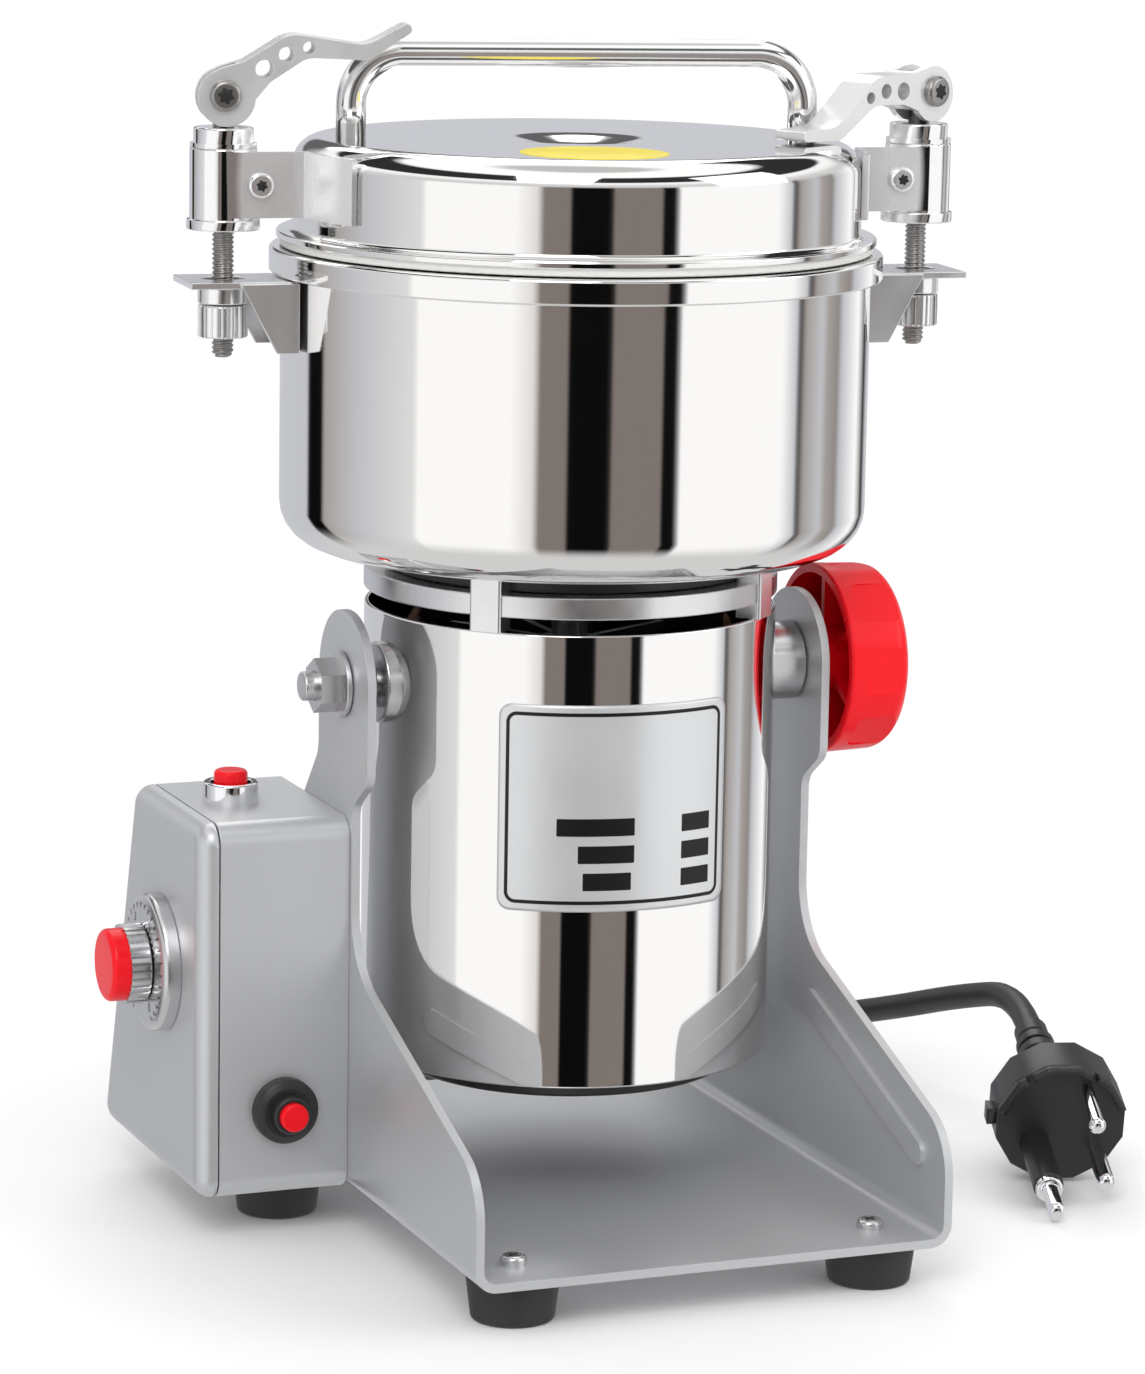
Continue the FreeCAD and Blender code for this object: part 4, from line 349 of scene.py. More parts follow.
# Stand. One sheet of steel bent to a U with a pressed bead along each cheek, painted in
# satin silver-grey; its edges are slightly rounded, and it stands on black rubber feet.
grey_paint = finish("grey_paint", (0.50, 0.51, 0.525), (0.64, 0.65, 0.665), 0.36, 0.1, metallic=0.6,
                    grain=3000, cloud=14, bump=0.3, coat=0.2, coat_roughness=0.25)
zinc = finish("zinc", (0.6, 0.6, 0.61), (0.72, 0.72, 0.73), 0.2, 0.15, metallic=1.0, grain=700, bump=0.2)
dress("base_frame", grey_paint, edge=0.5)
dress("rubber_feet", black_rubber)
dress("foot_screws", zinc)

# Switch box. Sheet case with a pressed cover on its outer side, both painted like the
# stand; the timer's dial is on the cover, the power button on top and the breaker in front.
red_plastic = finish("red_plastic", (0.78, 0.001, 0.007), (0.88, 0.002, 0.011), 0.24, 0.1,
                     grain=1500, cloud=40, bump=0.1, coat=0.06, coat_roughness=0.12, specular=0.25)
dress("box_case", grey_paint, edge=0.4)
dress("box_cover", grey_paint, edge=0.4)
dress("timer_dial_ring", zinc, edge=0.3)
dress("timer_knob", zinc)
dress("timer_knob_cap", red_plastic)
dress("timer_mechanism", black_plastic)
dress("power_button_bezel", chrome)
dress("power_switch_body", black_plastic)
dress("power_button", red_plastic)
dress("overload_breaker", black_plastic)
dress("reset_button", red_plastic)
dial_low, dial_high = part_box("timer_dial_ring")
dial_centre = Vector((dial_low[0], (dial_low[1] + dial_high[1]) / 2, (dial_low[2] + dial_high[2]) / 2))
dial_sweep = 150
figure_step = 60
figure_reach = 0.0131


def dial_marks(count=26, inner=15.2, outer=16.8, half=0.16, rise=0.04):
    """Corners of thin bars set round the dial, bar by bar: inner and outer end, side, and face or back."""
    angle = np.radians(np.linspace(-dial_sweep, dial_sweep, count))[:, None, None, None]
    reach = np.array([inner, outer])[None, :, None, None]
    side = np.array([-half, half])[None, None, :, None]
    out = np.array([-rise, rise])[None, None, None, :]
    y = reach * np.sin(angle) + side * np.cos(angle) + 0 * out
    z = reach * np.cos(angle) - side * np.sin(angle) + 0 * out
    x = 0 * y + out
    return np.stack([x, y, z], axis=-1).reshape(-1, 3) / 1000


mark_spots = dial_marks() + np.array(dial_centre)
box_faces = np.array([(0, 1, 3, 2), (4, 6, 7, 5), (0, 4, 5, 1), (2, 3, 7, 6), (0, 2, 6, 4), (1, 5, 7, 3)])
mark_faces = (np.arange(len(mark_spots) // 8)[:, None, None] * 8 + box_faces[None]).reshape(-1, 4)
marks_mesh = bpy.data.meshes.new("dial_scale")
marks_mesh.from_pydata(mark_spots.tolist(), [], mark_faces.tolist())
marks_form = bmesh.new()
marks_form.from_mesh(marks_mesh)
for number in range(6):
    figure = bpy.data.curves.new("figure", "FONT")
    figure.body = str(number)
    figure.size = 0.0036
    figure.align_x = "CENTER"
    figure.align_y = "CENTER"
    figure.extrude = 0.00004
    turn = math.radians(-dial_sweep + figure_step * number)
    figure_object = bpy.data.objects.new("figure", figure)
    bpy.context.collection.objects.link(figure_object)
    bpy.context.view_layer.update()
    figure_mesh = bpy.data.meshes.new_from_object(figure_object)
    facing = Matrix(((0, 0, -1), (-1, 0, 0), (0, 1, 0))).to_4x4()
    spot = dial_centre + Vector((0, math.sin(turn) * figure_reach, math.cos(turn) * figure_reach))
    figure_mesh.transform(Matrix.Translation(spot) @ facing)
    marks_form.from_mesh(figure_mesh)
    bpy.data.objects.remove(figure_object)
bmesh.ops.recalc_face_normals(marks_form, faces=marks_form.faces)
marks_form.to_mesh(marks_mesh)
marks_form.free()
dial_scale = bpy.data.objects.new("dial_scale", marks_mesh)
bpy.context.collection.objects.link(dial_scale)
marks_mesh.materials.append(black_plastic)
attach(dial_scale, "stand")


# Motor housing. Deep drawn tube of mirror polished stainless, rolled over at both ends,
# with a black cap in its bottom and a turned aluminium end bracket above it.
def rounded(corners, steps=7, least=0.12):
    """Outline through (x, y, rounding) corners, each of them an arc tangent to its two straight runs."""
    corners = np.array([(*corner, least)[:3] for corner in corners], float)
    spot = corners[:, :2]
    before = np.roll(spot, 1, axis=0) - spot
    after = np.roll(spot, -1, axis=0) - spot
    before /= np.linalg.norm(before, axis=1)[:, None]
    after /= np.linalg.norm(after, axis=1)[:, None]
    half = np.arccos(np.clip((before * after).sum(axis=1), -1, 1)) / 2
    trim = corners[:, 2] / np.tan(half)
    middle = before + after
    middle /= np.linalg.norm(middle, axis=1)[:, None]
    centre = spot + middle * (corners[:, 2] / np.sin(half))[:, None]
    start = spot + before * trim[:, None] - centre
    sweep = np.pi - 2 * half
    turn = np.sign(before[:, 0] * after[:, 1] - before[:, 1] * after[:, 0])
    angle = -turn[:, None] * sweep[:, None] * np.linspace(0, 1, steps)[None, :]
    x = start[:, 0, None] * np.cos(angle) - start[:, 1, None] * np.sin(angle)
    y = start[:, 0, None] * np.sin(angle) + start[:, 1, None] * np.cos(angle)
    return np.stack([centre[:, 0, None] + x, centre[:, 1, None] + y], axis=2).reshape(-1, 2)


def revolved(outline, count=192, centre=axis, along=Vector((0, 0, 1)), side=Vector((1, 0, 0))):
    """Grid of a surface of revolution: outline points (radius, height) turned about a line at centre."""
    third = along.cross(side)
    angle = np.linspace(0, 2 * np.pi, count, endpoint=False)[None, :]
    radius = outline[:, 0, None] / 1000
    height = outline[:, 1, None] / 1000
    grid = np.array(centre)[None, None, :] + height[..., None] * np.array(along)
    grid = grid + (radius * np.cos(angle))[..., None] * np.array(side)
    return grid + (radius * np.sin(angle))[..., None] * np.array(third)


mirror_steel = finish("mirror_steel", (0.86, 0.85, 0.84), (0.9, 0.89, 0.88), 0.035, 0.03, metallic=1.0,
                      grain=300, cloud=20, stretch=0.2)
cast_metal = finish("cast_metal", (0.72, 0.72, 0.73), (0.84, 0.84, 0.85), 0.24, 0.16, metallic=1.0,
                    grain=1500, cloud=80, bump=0.6)
housing = even_normals(skin("housing_tube", revolved(rounded([
    (55.3, 47.5, 0.4), (56.5, 47.5, 0.6), (56.5, 171, 0.6), (55.3, 171, 0.4),
])), mirror_steel, "head"))
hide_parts("motor_housing")
dress("housing_bottom_cap", black_plastic, edge=0.4)
dress("motor_end_bracket", cast_metal, edge=0.25)
# A black ring fills the gap between the end bracket and the bowl.
gap_ring = skin("black_gap_ring", revolved(rounded([
    (9, 181.2), (51, 181.2, 0.5), (51, 186.5, 0.5), (9, 186.5),
]), count=96), black_plastic, "head")
even_normals(gap_ring)

# Rating plate. Thin printed aluminium foil stuck round the front of the housing: a dark
# border line and blank dark cells on silver, with rounded corners and no words.
plate_width = 66.0
plate_height = 56.0
plate_bottom = 96.2
plate_rounding = 3.5
plate_radius = 56.75
plate_middle = math.radians(262.6)
plate_cells = [
    (0, 0, 31, 26, 3), (0, 0, 30, 25, 2),
    (-6.4, -5, 10.6, 2.4, 0.3), (22.9, -5, 4.7, 2.4, 0.3),
    (-3.5, -12.4, 7.7, 2.4, 0.3), (22.9, -12.4, 4.7, 2.4, 0.3),
    (-3.2, -19.8, 6.6, 2.4, 0.3), (22.9, -19.8, 4.7, 2.4, 0.3),
]
box_values = ("Centre X", "Centre Y", "Half Width", "Half Height", "Rounding")
print_edge = 0.05


def rounded_sheet(width, height, rounding, columns=72, rows=60):
    """Grid over a rectangle whose corner squares are pressed into quarter discs, point by point."""
    x = np.linspace(-width / 2, width / 2, columns)[None, :] + np.zeros((rows, 1))
    y = np.linspace(-height / 2, height / 2, rows)[:, None] + np.zeros((1, columns))
    over_x = np.abs(x) - (width / 2 - rounding)
    over_y = np.abs(y) - (height / 2 - rounding)
    corner = (over_x > 0) & (over_y > 0)
    length = np.hypot(over_x, over_y)
    pull = np.where(corner, np.maximum(over_x, over_y) / np.maximum(length, 0.001), 1)
    x = np.where(corner, np.sign(x) * (width / 2 - rounding + over_x * pull), x)
    y = np.where(corner, np.sign(y) * (height / 2 - rounding + over_y * pull), y)
    return x, y


def box_mask():
    """Node group: 1 inside a rounded box on the print, 0 outside, and soft over twice print_edge between."""
    group = bpy.data.node_groups.new("box_mask", "ShaderNodeTree")
    group.interface.new_socket("Spot", in_out="INPUT", socket_type="NodeSocketVector")
    for label in box_values:
        group.interface.new_socket(label, in_out="INPUT", socket_type="NodeSocketFloat")
    group.interface.new_socket("Mask", in_out="OUTPUT", socket_type="NodeSocketFloat")
    given = group.nodes.new("NodeGroupInput")
    result = group.nodes.new("NodeGroupOutput")
    parts = fed(group, group.nodes.new("ShaderNodeSeparateXYZ"), {"Vector": given.outputs["Spot"]})
    rounding = given.outputs["Rounding"]
    squares = []
    for way, middle, half in (("X", "Centre X", "Half Width"), ("Y", "Centre Y", "Half Height")):
        offset = maths(group, "SUBTRACT", parts.outputs[way], given.outputs[middle])
        over = maths(group, "SUBTRACT", maths(group, "ABSOLUTE", offset), given.outputs[half])
        inset = maths(group, "MAXIMUM", maths(group, "ADD", over, rounding), 0.0)
        squares.append(maths(group, "POWER", inset, 2.0))
    distance = maths(group, "SQRT", maths(group, "ADD", *squares))
    signed = maths(group, "SUBTRACT", distance, rounding)
    fed(group, result, {"Mask": ranged(group, signed, print_edge, -print_edge)})
    return group


def plate_print():
    """The plate's finish with its printed border line and cells mixed over the silver."""
    material = finish("rating_plate", (0.62, 0.63, 0.64), (0.7, 0.71, 0.72), 0.3, 0.1,
                      metallic=0.5, grain=1800, cloud=40, bump=0.1)
    tree = material.node_tree
    where = tree.nodes.new("ShaderNodeUVMap")
    where.uv_map = "print"
    mask_group = box_mask()
    masks = []
    for cell in plate_cells:
        mask = tree.nodes.new("ShaderNodeGroup")
        mask.node_tree = mask_group
        fed(tree, mask, {"Spot": where.outputs["UV"], **dict(zip(box_values, cell))})
        masks.append(mask.outputs["Mask"])
    ink = maths(tree, "SUBTRACT", masks[0], masks[1])
    for mask in masks[2:]:
        ink = maths(tree, "MAXIMUM", ink, mask)
    shader = tree.nodes["Principled BSDF"]
    silver = shader.inputs["Base Color"].links[0].from_socket
    fed(tree, shader, {"Base Color": mixed(tree, ink, silver, (0.012, 0.012, 0.013, 1))})
    return material


plate_x, plate_y = rounded_sheet(plate_width, plate_height, plate_rounding)
plate_angle = plate_middle + plate_x / plate_radius
plate_points = np.stack([
    axis.x + plate_radius / 1000 * np.cos(plate_angle),
    axis.y + plate_radius / 1000 * np.sin(plate_angle),
    (plate_bottom + plate_height / 2 + plate_y) / 1000,
], axis=2)
plate = skin("rating_plate", plate_points, plate_print(), "head",
             loop=(False, False), closed=False)
print_map = plate.data.uv_layers.new(name="print")
corner_vertex = np.zeros(len(plate.data.loops), int)
plate.data.loops.foreach_get("vertex_index", corner_vertex)
flat_spots = np.stack([plate_x.ravel(), plate_y.ravel()], axis=1)[corner_vertex]
print_map.data.foreach_set("uv", flat_spots.ravel())
plate_sheet = plate.modifiers.new("thickness", "SOLIDIFY")
plate_sheet.thickness = 0.00018
plate_sheet.offset = -1

# Tilt pivot. Turned bosses and studs on the tube's sides, a steel nut and a friction
# spring on the left, and on the right the red lock knob that clamps the cheek.
dress("pivot_bosses", zinc)
dress("pivot_studs", zinc)
dress("pivot_nut", zinc, edge=0.3)
dress("pivot_spring", zinc, split=60)
dress("lock_washer", zinc)
dress("lock_knob", red_plastic, edge=0.5)

# Grinding bowl. Spun mirror polished stainless bowl with a rolled rim, and the polished
# steel brackets riveted to its sides that the lid clamps pull on.
bowl = even_normals(skin("bowl_shell", revolved(rounded([
    (8, 186.8, 0.4), (80, 186.8, 12), (80, 261.2, 0.5), (83.2, 261.2, 0.6),
    (83.2, 268, 1.1), (78.5, 268, 0.5), (78.5, 188.8, 10.5), (8, 188.8, 0.4),
])), mirror_steel, "head"))
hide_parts("grinding_bowl")
polished = finish("polished_steel", (0.86, 0.86, 0.865), (0.93, 0.93, 0.935), 0.15, 0.12, metallic=0.92,
                  grain=1400, cloud=60, stretch=0.25, bump=0.2)
dress("bowl_brackets", polished, edge=0.3)
dress("bracket_rivets", polished)


# Lid. Pressed stainless lid with a raised flat top and a shallow dish at its middle; a
# white silicone ring seals it, and a bent bar is welded on as a handle.
def open_outline(corners, steps=7, least=0.12):
    """Rounded outline whose first and last corners stay plain points on the axis."""
    return np.vstack([corners[0], rounded(corners, steps, least)[steps:-steps], corners[-1]])


lid_outline = open_outline([
    (0, 295.2), (7, 295.2, 30), (18, 297.4, 30), (77, 297.4, 7.5), (77, 272.3, 1.6), (81.3, 272.3, 0.6),
    (81.3, 270.3, 0.5), (75.8, 270.3, 0.4), (75.8, 296.2, 6.3), (18, 296.2, 30), (7, 294, 30), (0, 294),
])
lid = skin("lid_cap", revolved(lid_outline), mirror_steel, "lid", loop=(False, True))
even_normals(lid)
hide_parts("lid_shell")
white_silicone = finish("white_silicone", (0.72, 0.72, 0.7), (0.8, 0.8, 0.78), 0.45, 0.1,
                        grain=1200, bump=0.2)
dress("lid_gasket", white_silicone)
handle_steel = finish("handle_steel", (0.84, 0.84, 0.845), (0.91, 0.91, 0.915), 0.07, 0.05, metallic=0.9,
                      grain=900, cloud=50, stretch=0.3, bump=0.1)


def bent_bar(half_span, foot, top, bend, radius, turn, count=40):
    """Grid of a round bar: a circle carried up one leg, round a quarter turn, along the top and down."""
    arc = np.linspace(0, np.pi / 2, 24)
    bend_centre = (half_span - bend, top - radius - bend)
    corner = np.stack([bend * np.cos(arc), bend * np.sin(arc)], axis=1) + bend_centre
    right = np.vstack([(half_span, foot), corner])
    line = np.vstack([right, (right * (-1, 1))[::-1]])
    way = np.gradient(line, axis=0)
    way[0] = (0, 1)
    way[-1] = (0, -1)
    way /= np.linalg.norm(way, axis=1)[:, None]
    outward = np.stack([way[:, 1], -way[:, 0]], axis=1)
    angle = np.linspace(0, 2 * np.pi, count, endpoint=False)[None, :]
    x = line[:, 0, None] + radius * outward[:, 0, None] * np.cos(angle)
    z = line[:, 1, None] + radius * outward[:, 1, None] * np.cos(angle)
    y = radius * np.sin(angle) + 0 * x
    cosine = math.cos(turn)
    sine = math.sin(turn)
    return np.stack([x * cosine - y * sine, x * sine + y * cosine, z], axis=2) / 1000 + np.array(axis)


handle_grid = bent_bar(half_span=62, foot=297.3, top=324, bend=13.5, radius=4, turn=math.radians(-11))
handle_bar = skin("lid_bar", handle_grid, handle_steel, "lid", loop=(False, True), caps=True)
even_normals(handle_bar)
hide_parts("lid_handle")
yellow_film = finish("yellow_film", (0.83, 0.66, 0.012), (0.9, 0.74, 0.03), 0.35, 0.12,
                     grain=1400, cloud=120, bump=0.1)
label_spot = axis + Vector((-0.0139, -0.0461, 0))
label_outline = open_outline([
    (0, 297.55), (19.6, 297.55, 0.08), (19.6, 297.38, 0.05), (0, 297.38),
], least=0.01)
lid_label = skin("lid_label", revolved(label_outline, count=96, centre=label_spot), yellow_film,
                 "lid", loop=(False, True))
even_normals(lid_label)

# Lid clamps. On each side a cam lever draws a threaded rod up through a sleeve screwed to
# the lid, and a knurled nut and thrust washer hold it under the bowl's bracket.
lever_alloy = finish("lever_alloy", (0.73, 0.73, 0.735), (0.82, 0.82, 0.825), 0.27, 0.12, metallic=0.6,
                     grain=1600, cloud=70, bump=0.3)


def distance_from(tree, spot):
    """Output of how far the shaded point is from a spot, both in object coordinates in metres."""
    where = tree.nodes.new("ShaderNodeTexCoord")
    node = tree.nodes.new("ShaderNodeVectorMath")
    node.operation = "DISTANCE"
    return fed(tree, node, {0: where.outputs["Object"], 1: spot}).outputs["Value"]


def sleeve_steel(tail_end=0.0955, barrel_start=0.0975, middle_height=0.286, satin_metal=0.72):
    """Satin on the tails and polished on the barrels, by distance from the lid's axis at mid height."""
    material = finish("sleeve_steel", (0.84, 0.84, 0.845), (0.92, 0.92, 0.925), 0.2, 0.1,
                      metallic=satin_metal, grain=1400, cloud=60, stretch=0.25, bump=0.2)
    tree = material.node_tree
    shader = tree.nodes["Principled BSDF"]
    reach = distance_from(tree, axis + Vector((0, 0, middle_height)))
    satin = shader.inputs["Roughness"].links[0].from_socket
    for label, source, polish in (("Roughness", satin, 0.07), ("Metallic", satin_metal, 1.0)):
        fed(tree, shader, {label: ranged(tree, reach, tail_end, barrel_start, source, polish)})
    return material


dress("clamp_sleeves", sleeve_steel())
dress("sleeve_screws", polished)
thread_steel = finish("thread_steel", (0.3, 0.29, 0.28), (0.42, 0.41, 0.4), 0.26, 0.14,
                      metallic=1.0, grain=1200, bump=0.2)
given_joints = {joint["name"]: joint for joint in frame["record"]["behaviour"]["joints"]}


def threaded_rod(low, thread_top, top, radius=2.9, pitch=1.25, depth=0.42):
    """Grid of a rod: below thread_top its radius dips once a pitch, along one helix."""
    height = np.append(np.arange(low, thread_top, pitch / 9), [thread_top, top])
    angle = np.linspace(0, 2 * np.pi, 28, endpoint=False)
    phase = (height[:, None] / pitch - angle[None, :] / (2 * np.pi)) % 1
    groove = depth * np.clip(1.7 * np.abs(2 * phase - 1) - 0.35, 0, 1) * (height < thread_top)[:, None]
    point = 0.9 * np.clip(1 - (height - low) / 1.2, 0, 1)[:, None]
    reach = radius - groove - point
    x = reach * np.cos(angle)
    y = reach * np.sin(angle)
    return np.stack([x, y, height[:, None] + 0 * reach], axis=2) / 1000


rod_bottom = 240
thread_end = 276
eye_drop = 4.6
for side_name in ("left", "right"):
    rod_spot = Vector(given_joints[side_name + "_nut_turn"]["pos_m"])
    pivot_spot = Vector(given_joints[side_name + "_lever_turn"]["pos_m"])
    pivot_way = Vector(given_joints[side_name + "_lever_turn"]["axis"]).normalized()
    rod_grid = threaded_rod(rod_bottom, thread_end, pivot_spot.z * 1000 - eye_drop)
    rod_grid = rod_grid + np.array((rod_spot.x, rod_spot.y, 0))
    rod = skin("rod_" + side_name, rod_grid, thread_steel, side_name + "_rod",
               loop=(False, True), caps=True)
    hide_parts("clamp_rod_" + side_name)
    eye = rounded([(2.6, -2.95), (5.2, -2.95, 0.4), (5.2, 2.95, 0.4), (2.6, 2.95)])
    even_normals(skin("rod_eye_" + side_name, revolved(eye, 64, pivot_spot, pivot_way, Vector((0, 0, 1))),
                      thread_steel, side_name + "_rod"))
    dress("clamp_lever_" + side_name, lever_alloy, edge=0.5)
    dress("lever_screw_" + side_name, thread_steel)
    dress("thrust_washer_" + side_name, polished)
    dress("knurled_nut_" + side_name, polished)
# Near black finish of painted shade, for the stars that stand in for the screws' drive recesses.
recess_painted_shade = finish("recess_painted_shade", (0.02, 0.02, 0.021), (0.04, 0.04, 0.041), 0.45, 0.2,
                      metallic=0.6, grain=1500)


def drive_recess(name, node, body, facing, keep, lobes=6, size=1.55, wave=0.16):
    """Dark star of painted shade on a screw head, in place of its recess: its radius swings lobes times
    round, and keep is (x, y, reach) round it.
    """
    spots = np.zeros(len(frame["nodes"][node].data.vertices) * 3)
    frame["nodes"][node].data.vertices.foreach_get("co", spots)
    spots = spots.reshape(-1, 3)
    spots = spots[np.hypot(spots[:, 0] - keep[0], spots[:, 1] - keep[1]) < keep[2]]
    reach = spots @ np.array(facing)
    face = spots[reach > reach.max() - 0.00004]
    middle = (face.min(axis=0) + face.max(axis=0)) / 2
    side = facing.cross(Vector((0.3, 0.2, 1))).normalized()
    third = facing.cross(side)
    angle = np.linspace(0, 2 * np.pi, 72, endpoint=False)[None, :]
    share = np.array([0, 0.5, 1, 1, 0])[:, None]
    lift = np.array([0.05, 0.05, 0.04, -0.2, -0.2])[:, None] / 1000
    radius = share * size * (1 + wave * np.cos(lobes * angle)) / 1000
    grid = middle + lift[..., None] * np.array(facing) + (radius * np.cos(angle))[..., None] * np.array(side)
    grid = grid + (radius * np.sin(angle))[..., None] * np.array(third)
    return skin(name, grid, recess_painted_shade, body, loop=(False, True))


# Stars of painted shade on the lever, sleeve and foot screws, where their drive recesses would lie in shade.
clamp_line = Vector(given_joints["right_nut_turn"]["pos_m"]) - Vector(given_joints["left_nut_turn"]["pos_m"])
tail_facing = Vector((clamp_line.y, -clamp_line.x, 0)).normalized()
tail_inward = 0.008
tail_forward = 0.009
clamp_reach = 0.02
for side_name, sign in (("left", 1), ("right", -1)):
    pivot_spot = given_joints[side_name + "_lever_turn"]["pos_m"]
    pivot_way = Vector(given_joints[side_name + "_lever_turn"]["axis"]).normalized()
    drive_recess("lever_screw_shade_star_" + side_name, "lever_screw_" + side_name, side_name + "_lever",
                 pivot_way * sign, (pivot_spot[0], pivot_spot[1], clamp_reach), size=1.9)
    tail = (pivot_spot[0] + sign * tail_inward, pivot_spot[1] - tail_forward, clamp_reach)
    drive_recess("sleeve_screw_shade_star_" + side_name, "sleeve_screws", "lid", tail_facing, tail, size=1.35)
foot_across = 0.051
foot_forward = 0.095
foot_reach = 0.012
for number, foot_x in enumerate((-foot_across, foot_across)):
    drive_recess(f"foot_screw_shade_star_{number}", "foot_screws", "stand", Vector((0, 0, 1)),
                 (axis.x + foot_x, axis.y - foot_forward, foot_reach), lobes=4, size=1.2, wave=0.45)

# Motor. Iron stator and windings, with brushes, fan and armature on one long shaft that
# carries the grinding blades; while the lid is on, almost none of it shows.
motor_iron = finish("motor_iron", (0.1, 0.1, 0.105), (0.16, 0.16, 0.165), 0.5, 0.2,
                    metallic=0.8, grain=900, bump=0.4)
copper = finish("copper_wire", (0.5, 0.2, 0.08), (0.6, 0.27, 0.12), 0.35, 0.15,
                metallic=0.9, grain=1500, bump=0.5)
blade_steel = finish("blade_steel", (0.6, 0.6, 0.62), (0.7, 0.7, 0.72), 0.22, 0.12,
                     metallic=1.0, grain=900, stretch=0.1, bump=0.3)
for label in ("lower_end_shield", "stator_core", "armature", "brush_gear"):
    dress(label, motor_iron)
dress("field_coils", copper)
dress("cooling_fan", black_plastic)
for label in ("rotor_shaft", "shaft_bearings"):
    dress(label, zinc)
for label in ("grinding_blades", "blade_spacers", "blade_nut"):
    dress(label, blade_steel)

# Studio. Pale floor, even white light, and a surround that only glossy metal mirrors:
# white walls with dark upright strips, as beside a product table.
floor_mesh = bpy.data.meshes.new("floor")
floor_mesh.from_pydata([(-6, -6, 0), (6, -6, 0), (6, 6, 0), (-6, 6, 0)], [], [(0, 1, 2, 3)])
floor = bpy.data.objects.new("floor", floor_mesh)
bpy.context.collection.objects.link(floor)
backdrop_glow = 1.02


def blended(tree, share, first, second):
    """Output of a Mix Shader node: first where share is 0 and second where it is 1."""
    node = tree.nodes.new("ShaderNodeMixShader")
    return fed(tree, node, {0: share, 1: first, 2: second}).outputs["Shader"]


def floor_paint(fade_start=0.16, fade_end=0.42):
    """Matt white that to the camera turns plain bright with distance from the machine, like a lit sweep."""
    material = finish("floor_paint", (0.88, 0.88, 0.88), (0.9, 0.9, 0.9), 0.8, 0.1, grain=40, cloud=3)
    tree = material.node_tree
    share = ranged(tree, distance_from(tree, axis), fade_start, fade_end, kind="SMOOTHSTEP")
    paths = tree.nodes.new("ShaderNodeLightPath")
    looked = maths(tree, "MULTIPLY", share, paths.outputs["Is Camera Ray"])
    glow = fed(tree, tree.nodes.new("ShaderNodeEmission"), {"Color": (1, 1, 1, 1), "Strength": backdrop_glow})
    paint = tree.nodes["Principled BSDF"].outputs["BSDF"]
    surface = blended(tree, looked, paint, glow.outputs["Emission"])
    fed(tree, tree.nodes["Material Output"], {"Surface": surface})
    return material


floor_mesh.materials.append(floor_paint())
floor.visible_glossy = False
taupe = (0.23, 0.2, 0.185)
dark = (0.004, 0.004, 0.004)
white = (1.08, 1.08, 1.08)
pale = (0.6, 0.612, 0.65)
warm = (0.42, 0.39, 0.37)
camera_heading = 270 - math.degrees(camera_turn)
strip_stops = [
    (-180, pale), (-127, pale), (-125, dark), (-115, dark), (-113, warm), (-90, pale), (-64, (0.8, 0.8, 0.8)),
    (-62, white), (-24, white), (-14.5, (0.8, 0.78, 0.76)), (-13.5, taupe), (-2, taupe), (-1.5, dark),
    (14, dark), (14.6, taupe), (34, taupe), (34.6, dark), (40.5, dark), (41.5, white), (88, white),
    (96, pale), (97.5, dark), (101.5, warm), (112, pale), (116, warm), (124, (0.3, 0.28, 0.27)),
    (128, pale), (145, white), (156, dark), (164, pale),
]
rear_across = [(0, 1), (0.06, 1), (0.1, 0), (0.9, 0), (0.94, 1)]
rear_upright = [(0.13, 0), (0.17, 1), (0.36, 1), (0.44, 0)]
rear_grey = (0.13, 0.13, 0.135, 1)
depth_start = -0.3
depth_end = -0.7
depth_grey = (0.7, 0.7, 0.7, 1)
ceiling_start = 0.14
ceiling_end = 0.26
ceiling_stops = [
    (0.3, 0.7), (0.42, 1.05), (0.48, 1.05), (0.51, 0.03),
    (0.74, 0.03), (0.78, 1.15), (0.94, 1.15), (0.97, 0.6),
]


def ramp(tree, place, stops):
    """Output of a colour ramp read at place; a stop is a position with a colour or with one grey value."""
    node = fed(tree, tree.nodes.new("ShaderNodeValToRGB"), {"Fac": place})
    elements = node.color_ramp.elements
    while len(elements) < len(stops):
        elements.new(0.5)
    for element, (position, colour) in zip(elements, stops):
        element.position = position
        element.color = (*colour, 1) if isinstance(colour, tuple) else (colour, colour, colour, 1)
    return node.outputs["Color"]


def background(tree, node, colour, strength):
    """Output of a Background node given a colour and a strength."""
    return fed(tree, node, {"Color": colour, "Strength": strength}).outputs["Background"]


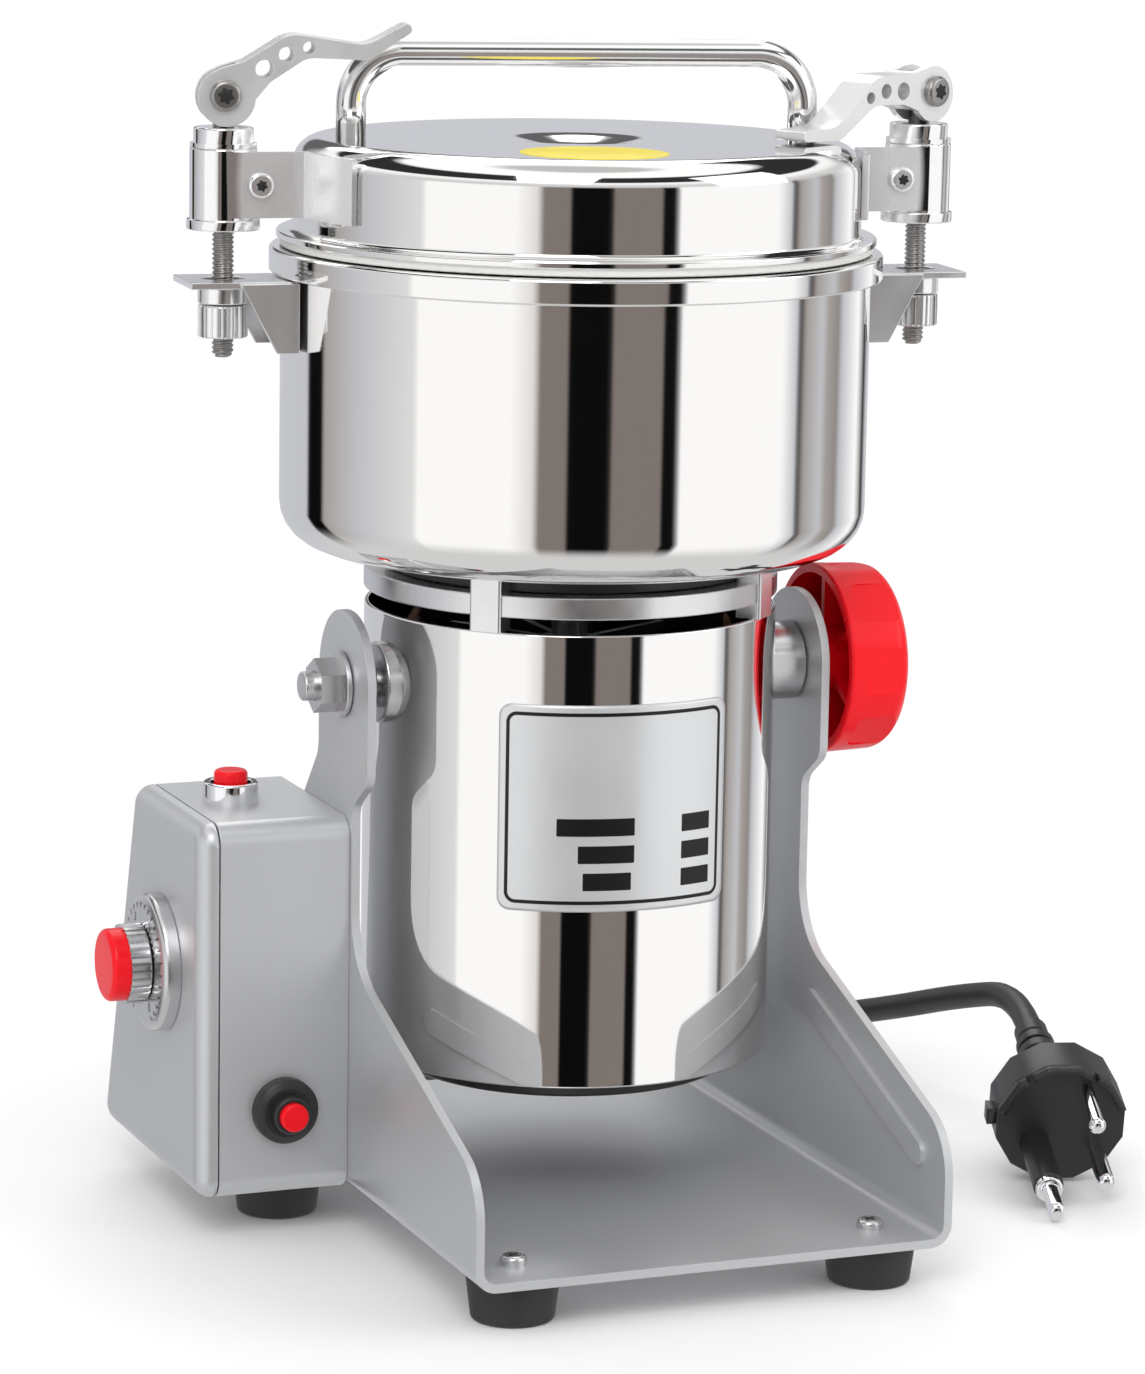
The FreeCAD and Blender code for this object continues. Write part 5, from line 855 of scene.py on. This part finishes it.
def studio_surround():
    """World: plain white, but where glossy rays look it shades by heading, in upright strips set by angle."""
    world = bpy.data.worlds.new("studio")
    bpy.context.scene.world = world
    world.use_nodes = True
    tree = world.node_tree
    where = tree.nodes.new("ShaderNodeTexCoord")
    parts = fed(tree, tree.nodes.new("ShaderNodeSeparateXYZ"), {"Vector": where.outputs["Generated"]})
    rise = parts.outputs["Z"]
    heading = maths(tree, "ARCTAN2", parts.outputs["Y"], parts.outputs["X"])
    turned = maths(tree, "MULTIPLY_ADD", heading, 1 / (2 * math.pi), 1.5 - camera_heading / 360)
    share = maths(tree, "FRACT", turned)
    strips = ramp(tree, share, [(0.5 + angle / 360, colour) for angle, colour in strip_stops])
    ceiling = ramp(tree, rise, ceiling_stops)
    height = ranged(tree, rise, ceiling_start, ceiling_end, kind="SMOOTHSTEP")
    above = mixed(tree, height, strips, ceiling)
    rear = maths(tree, "MULTIPLY", ramp(tree, share, rear_across), ramp(tree, rise, rear_upright))
    behind = mixed(tree, rear, above, rear_grey)
    depth = ranged(tree, rise, depth_start, depth_end, kind="SMOOTHSTEP")
    below = mixed(tree, depth, behind, depth_grey)
    paths = tree.nodes.new("ShaderNodeLightPath")
    plain = background(tree, tree.nodes["Background"], (1, 1, 1, 1), 0.9)
    seen = background(tree, tree.nodes.new("ShaderNodeBackground"), (1, 1, 1, 1), backdrop_glow)
    mirrored = background(tree, tree.nodes.new("ShaderNodeBackground"), below, 1.0)
    backdrop = blended(tree, paths.outputs["Is Camera Ray"], plain, seen)
    chosen = blended(tree, paths.outputs["Is Glossy Ray"], backdrop, mirrored)
    fed(tree, tree.nodes["World Output"], {"Surface": chosen})


studio_surround()
light_aim = Vector((0, 0, 0.15))
for label, spot, size, power in (
    ("key_light", Vector((-0.9, -1.5, 1.7)), 1.1, 16),
    ("fill_light", Vector((1.5, -1.1, 1.2)), 1.3, 8),
    ("rear_light", Vector((0.4, 1.5, 1.6)), 1.2, 9),
):
    light_data = bpy.data.lights.new(label, "AREA")
    light_data.size = size
    light_data.energy = power
    light = bpy.data.objects.new(label, light_data)
    turned_to = (spot - light_aim).to_track_quat("Z", "Y").to_matrix().to_4x4()
    light.matrix_world = Matrix.Translation(spot) @ turned_to
    bpy.context.collection.objects.link(light)
bpy.context.scene.view_settings.view_transform = "Standard"
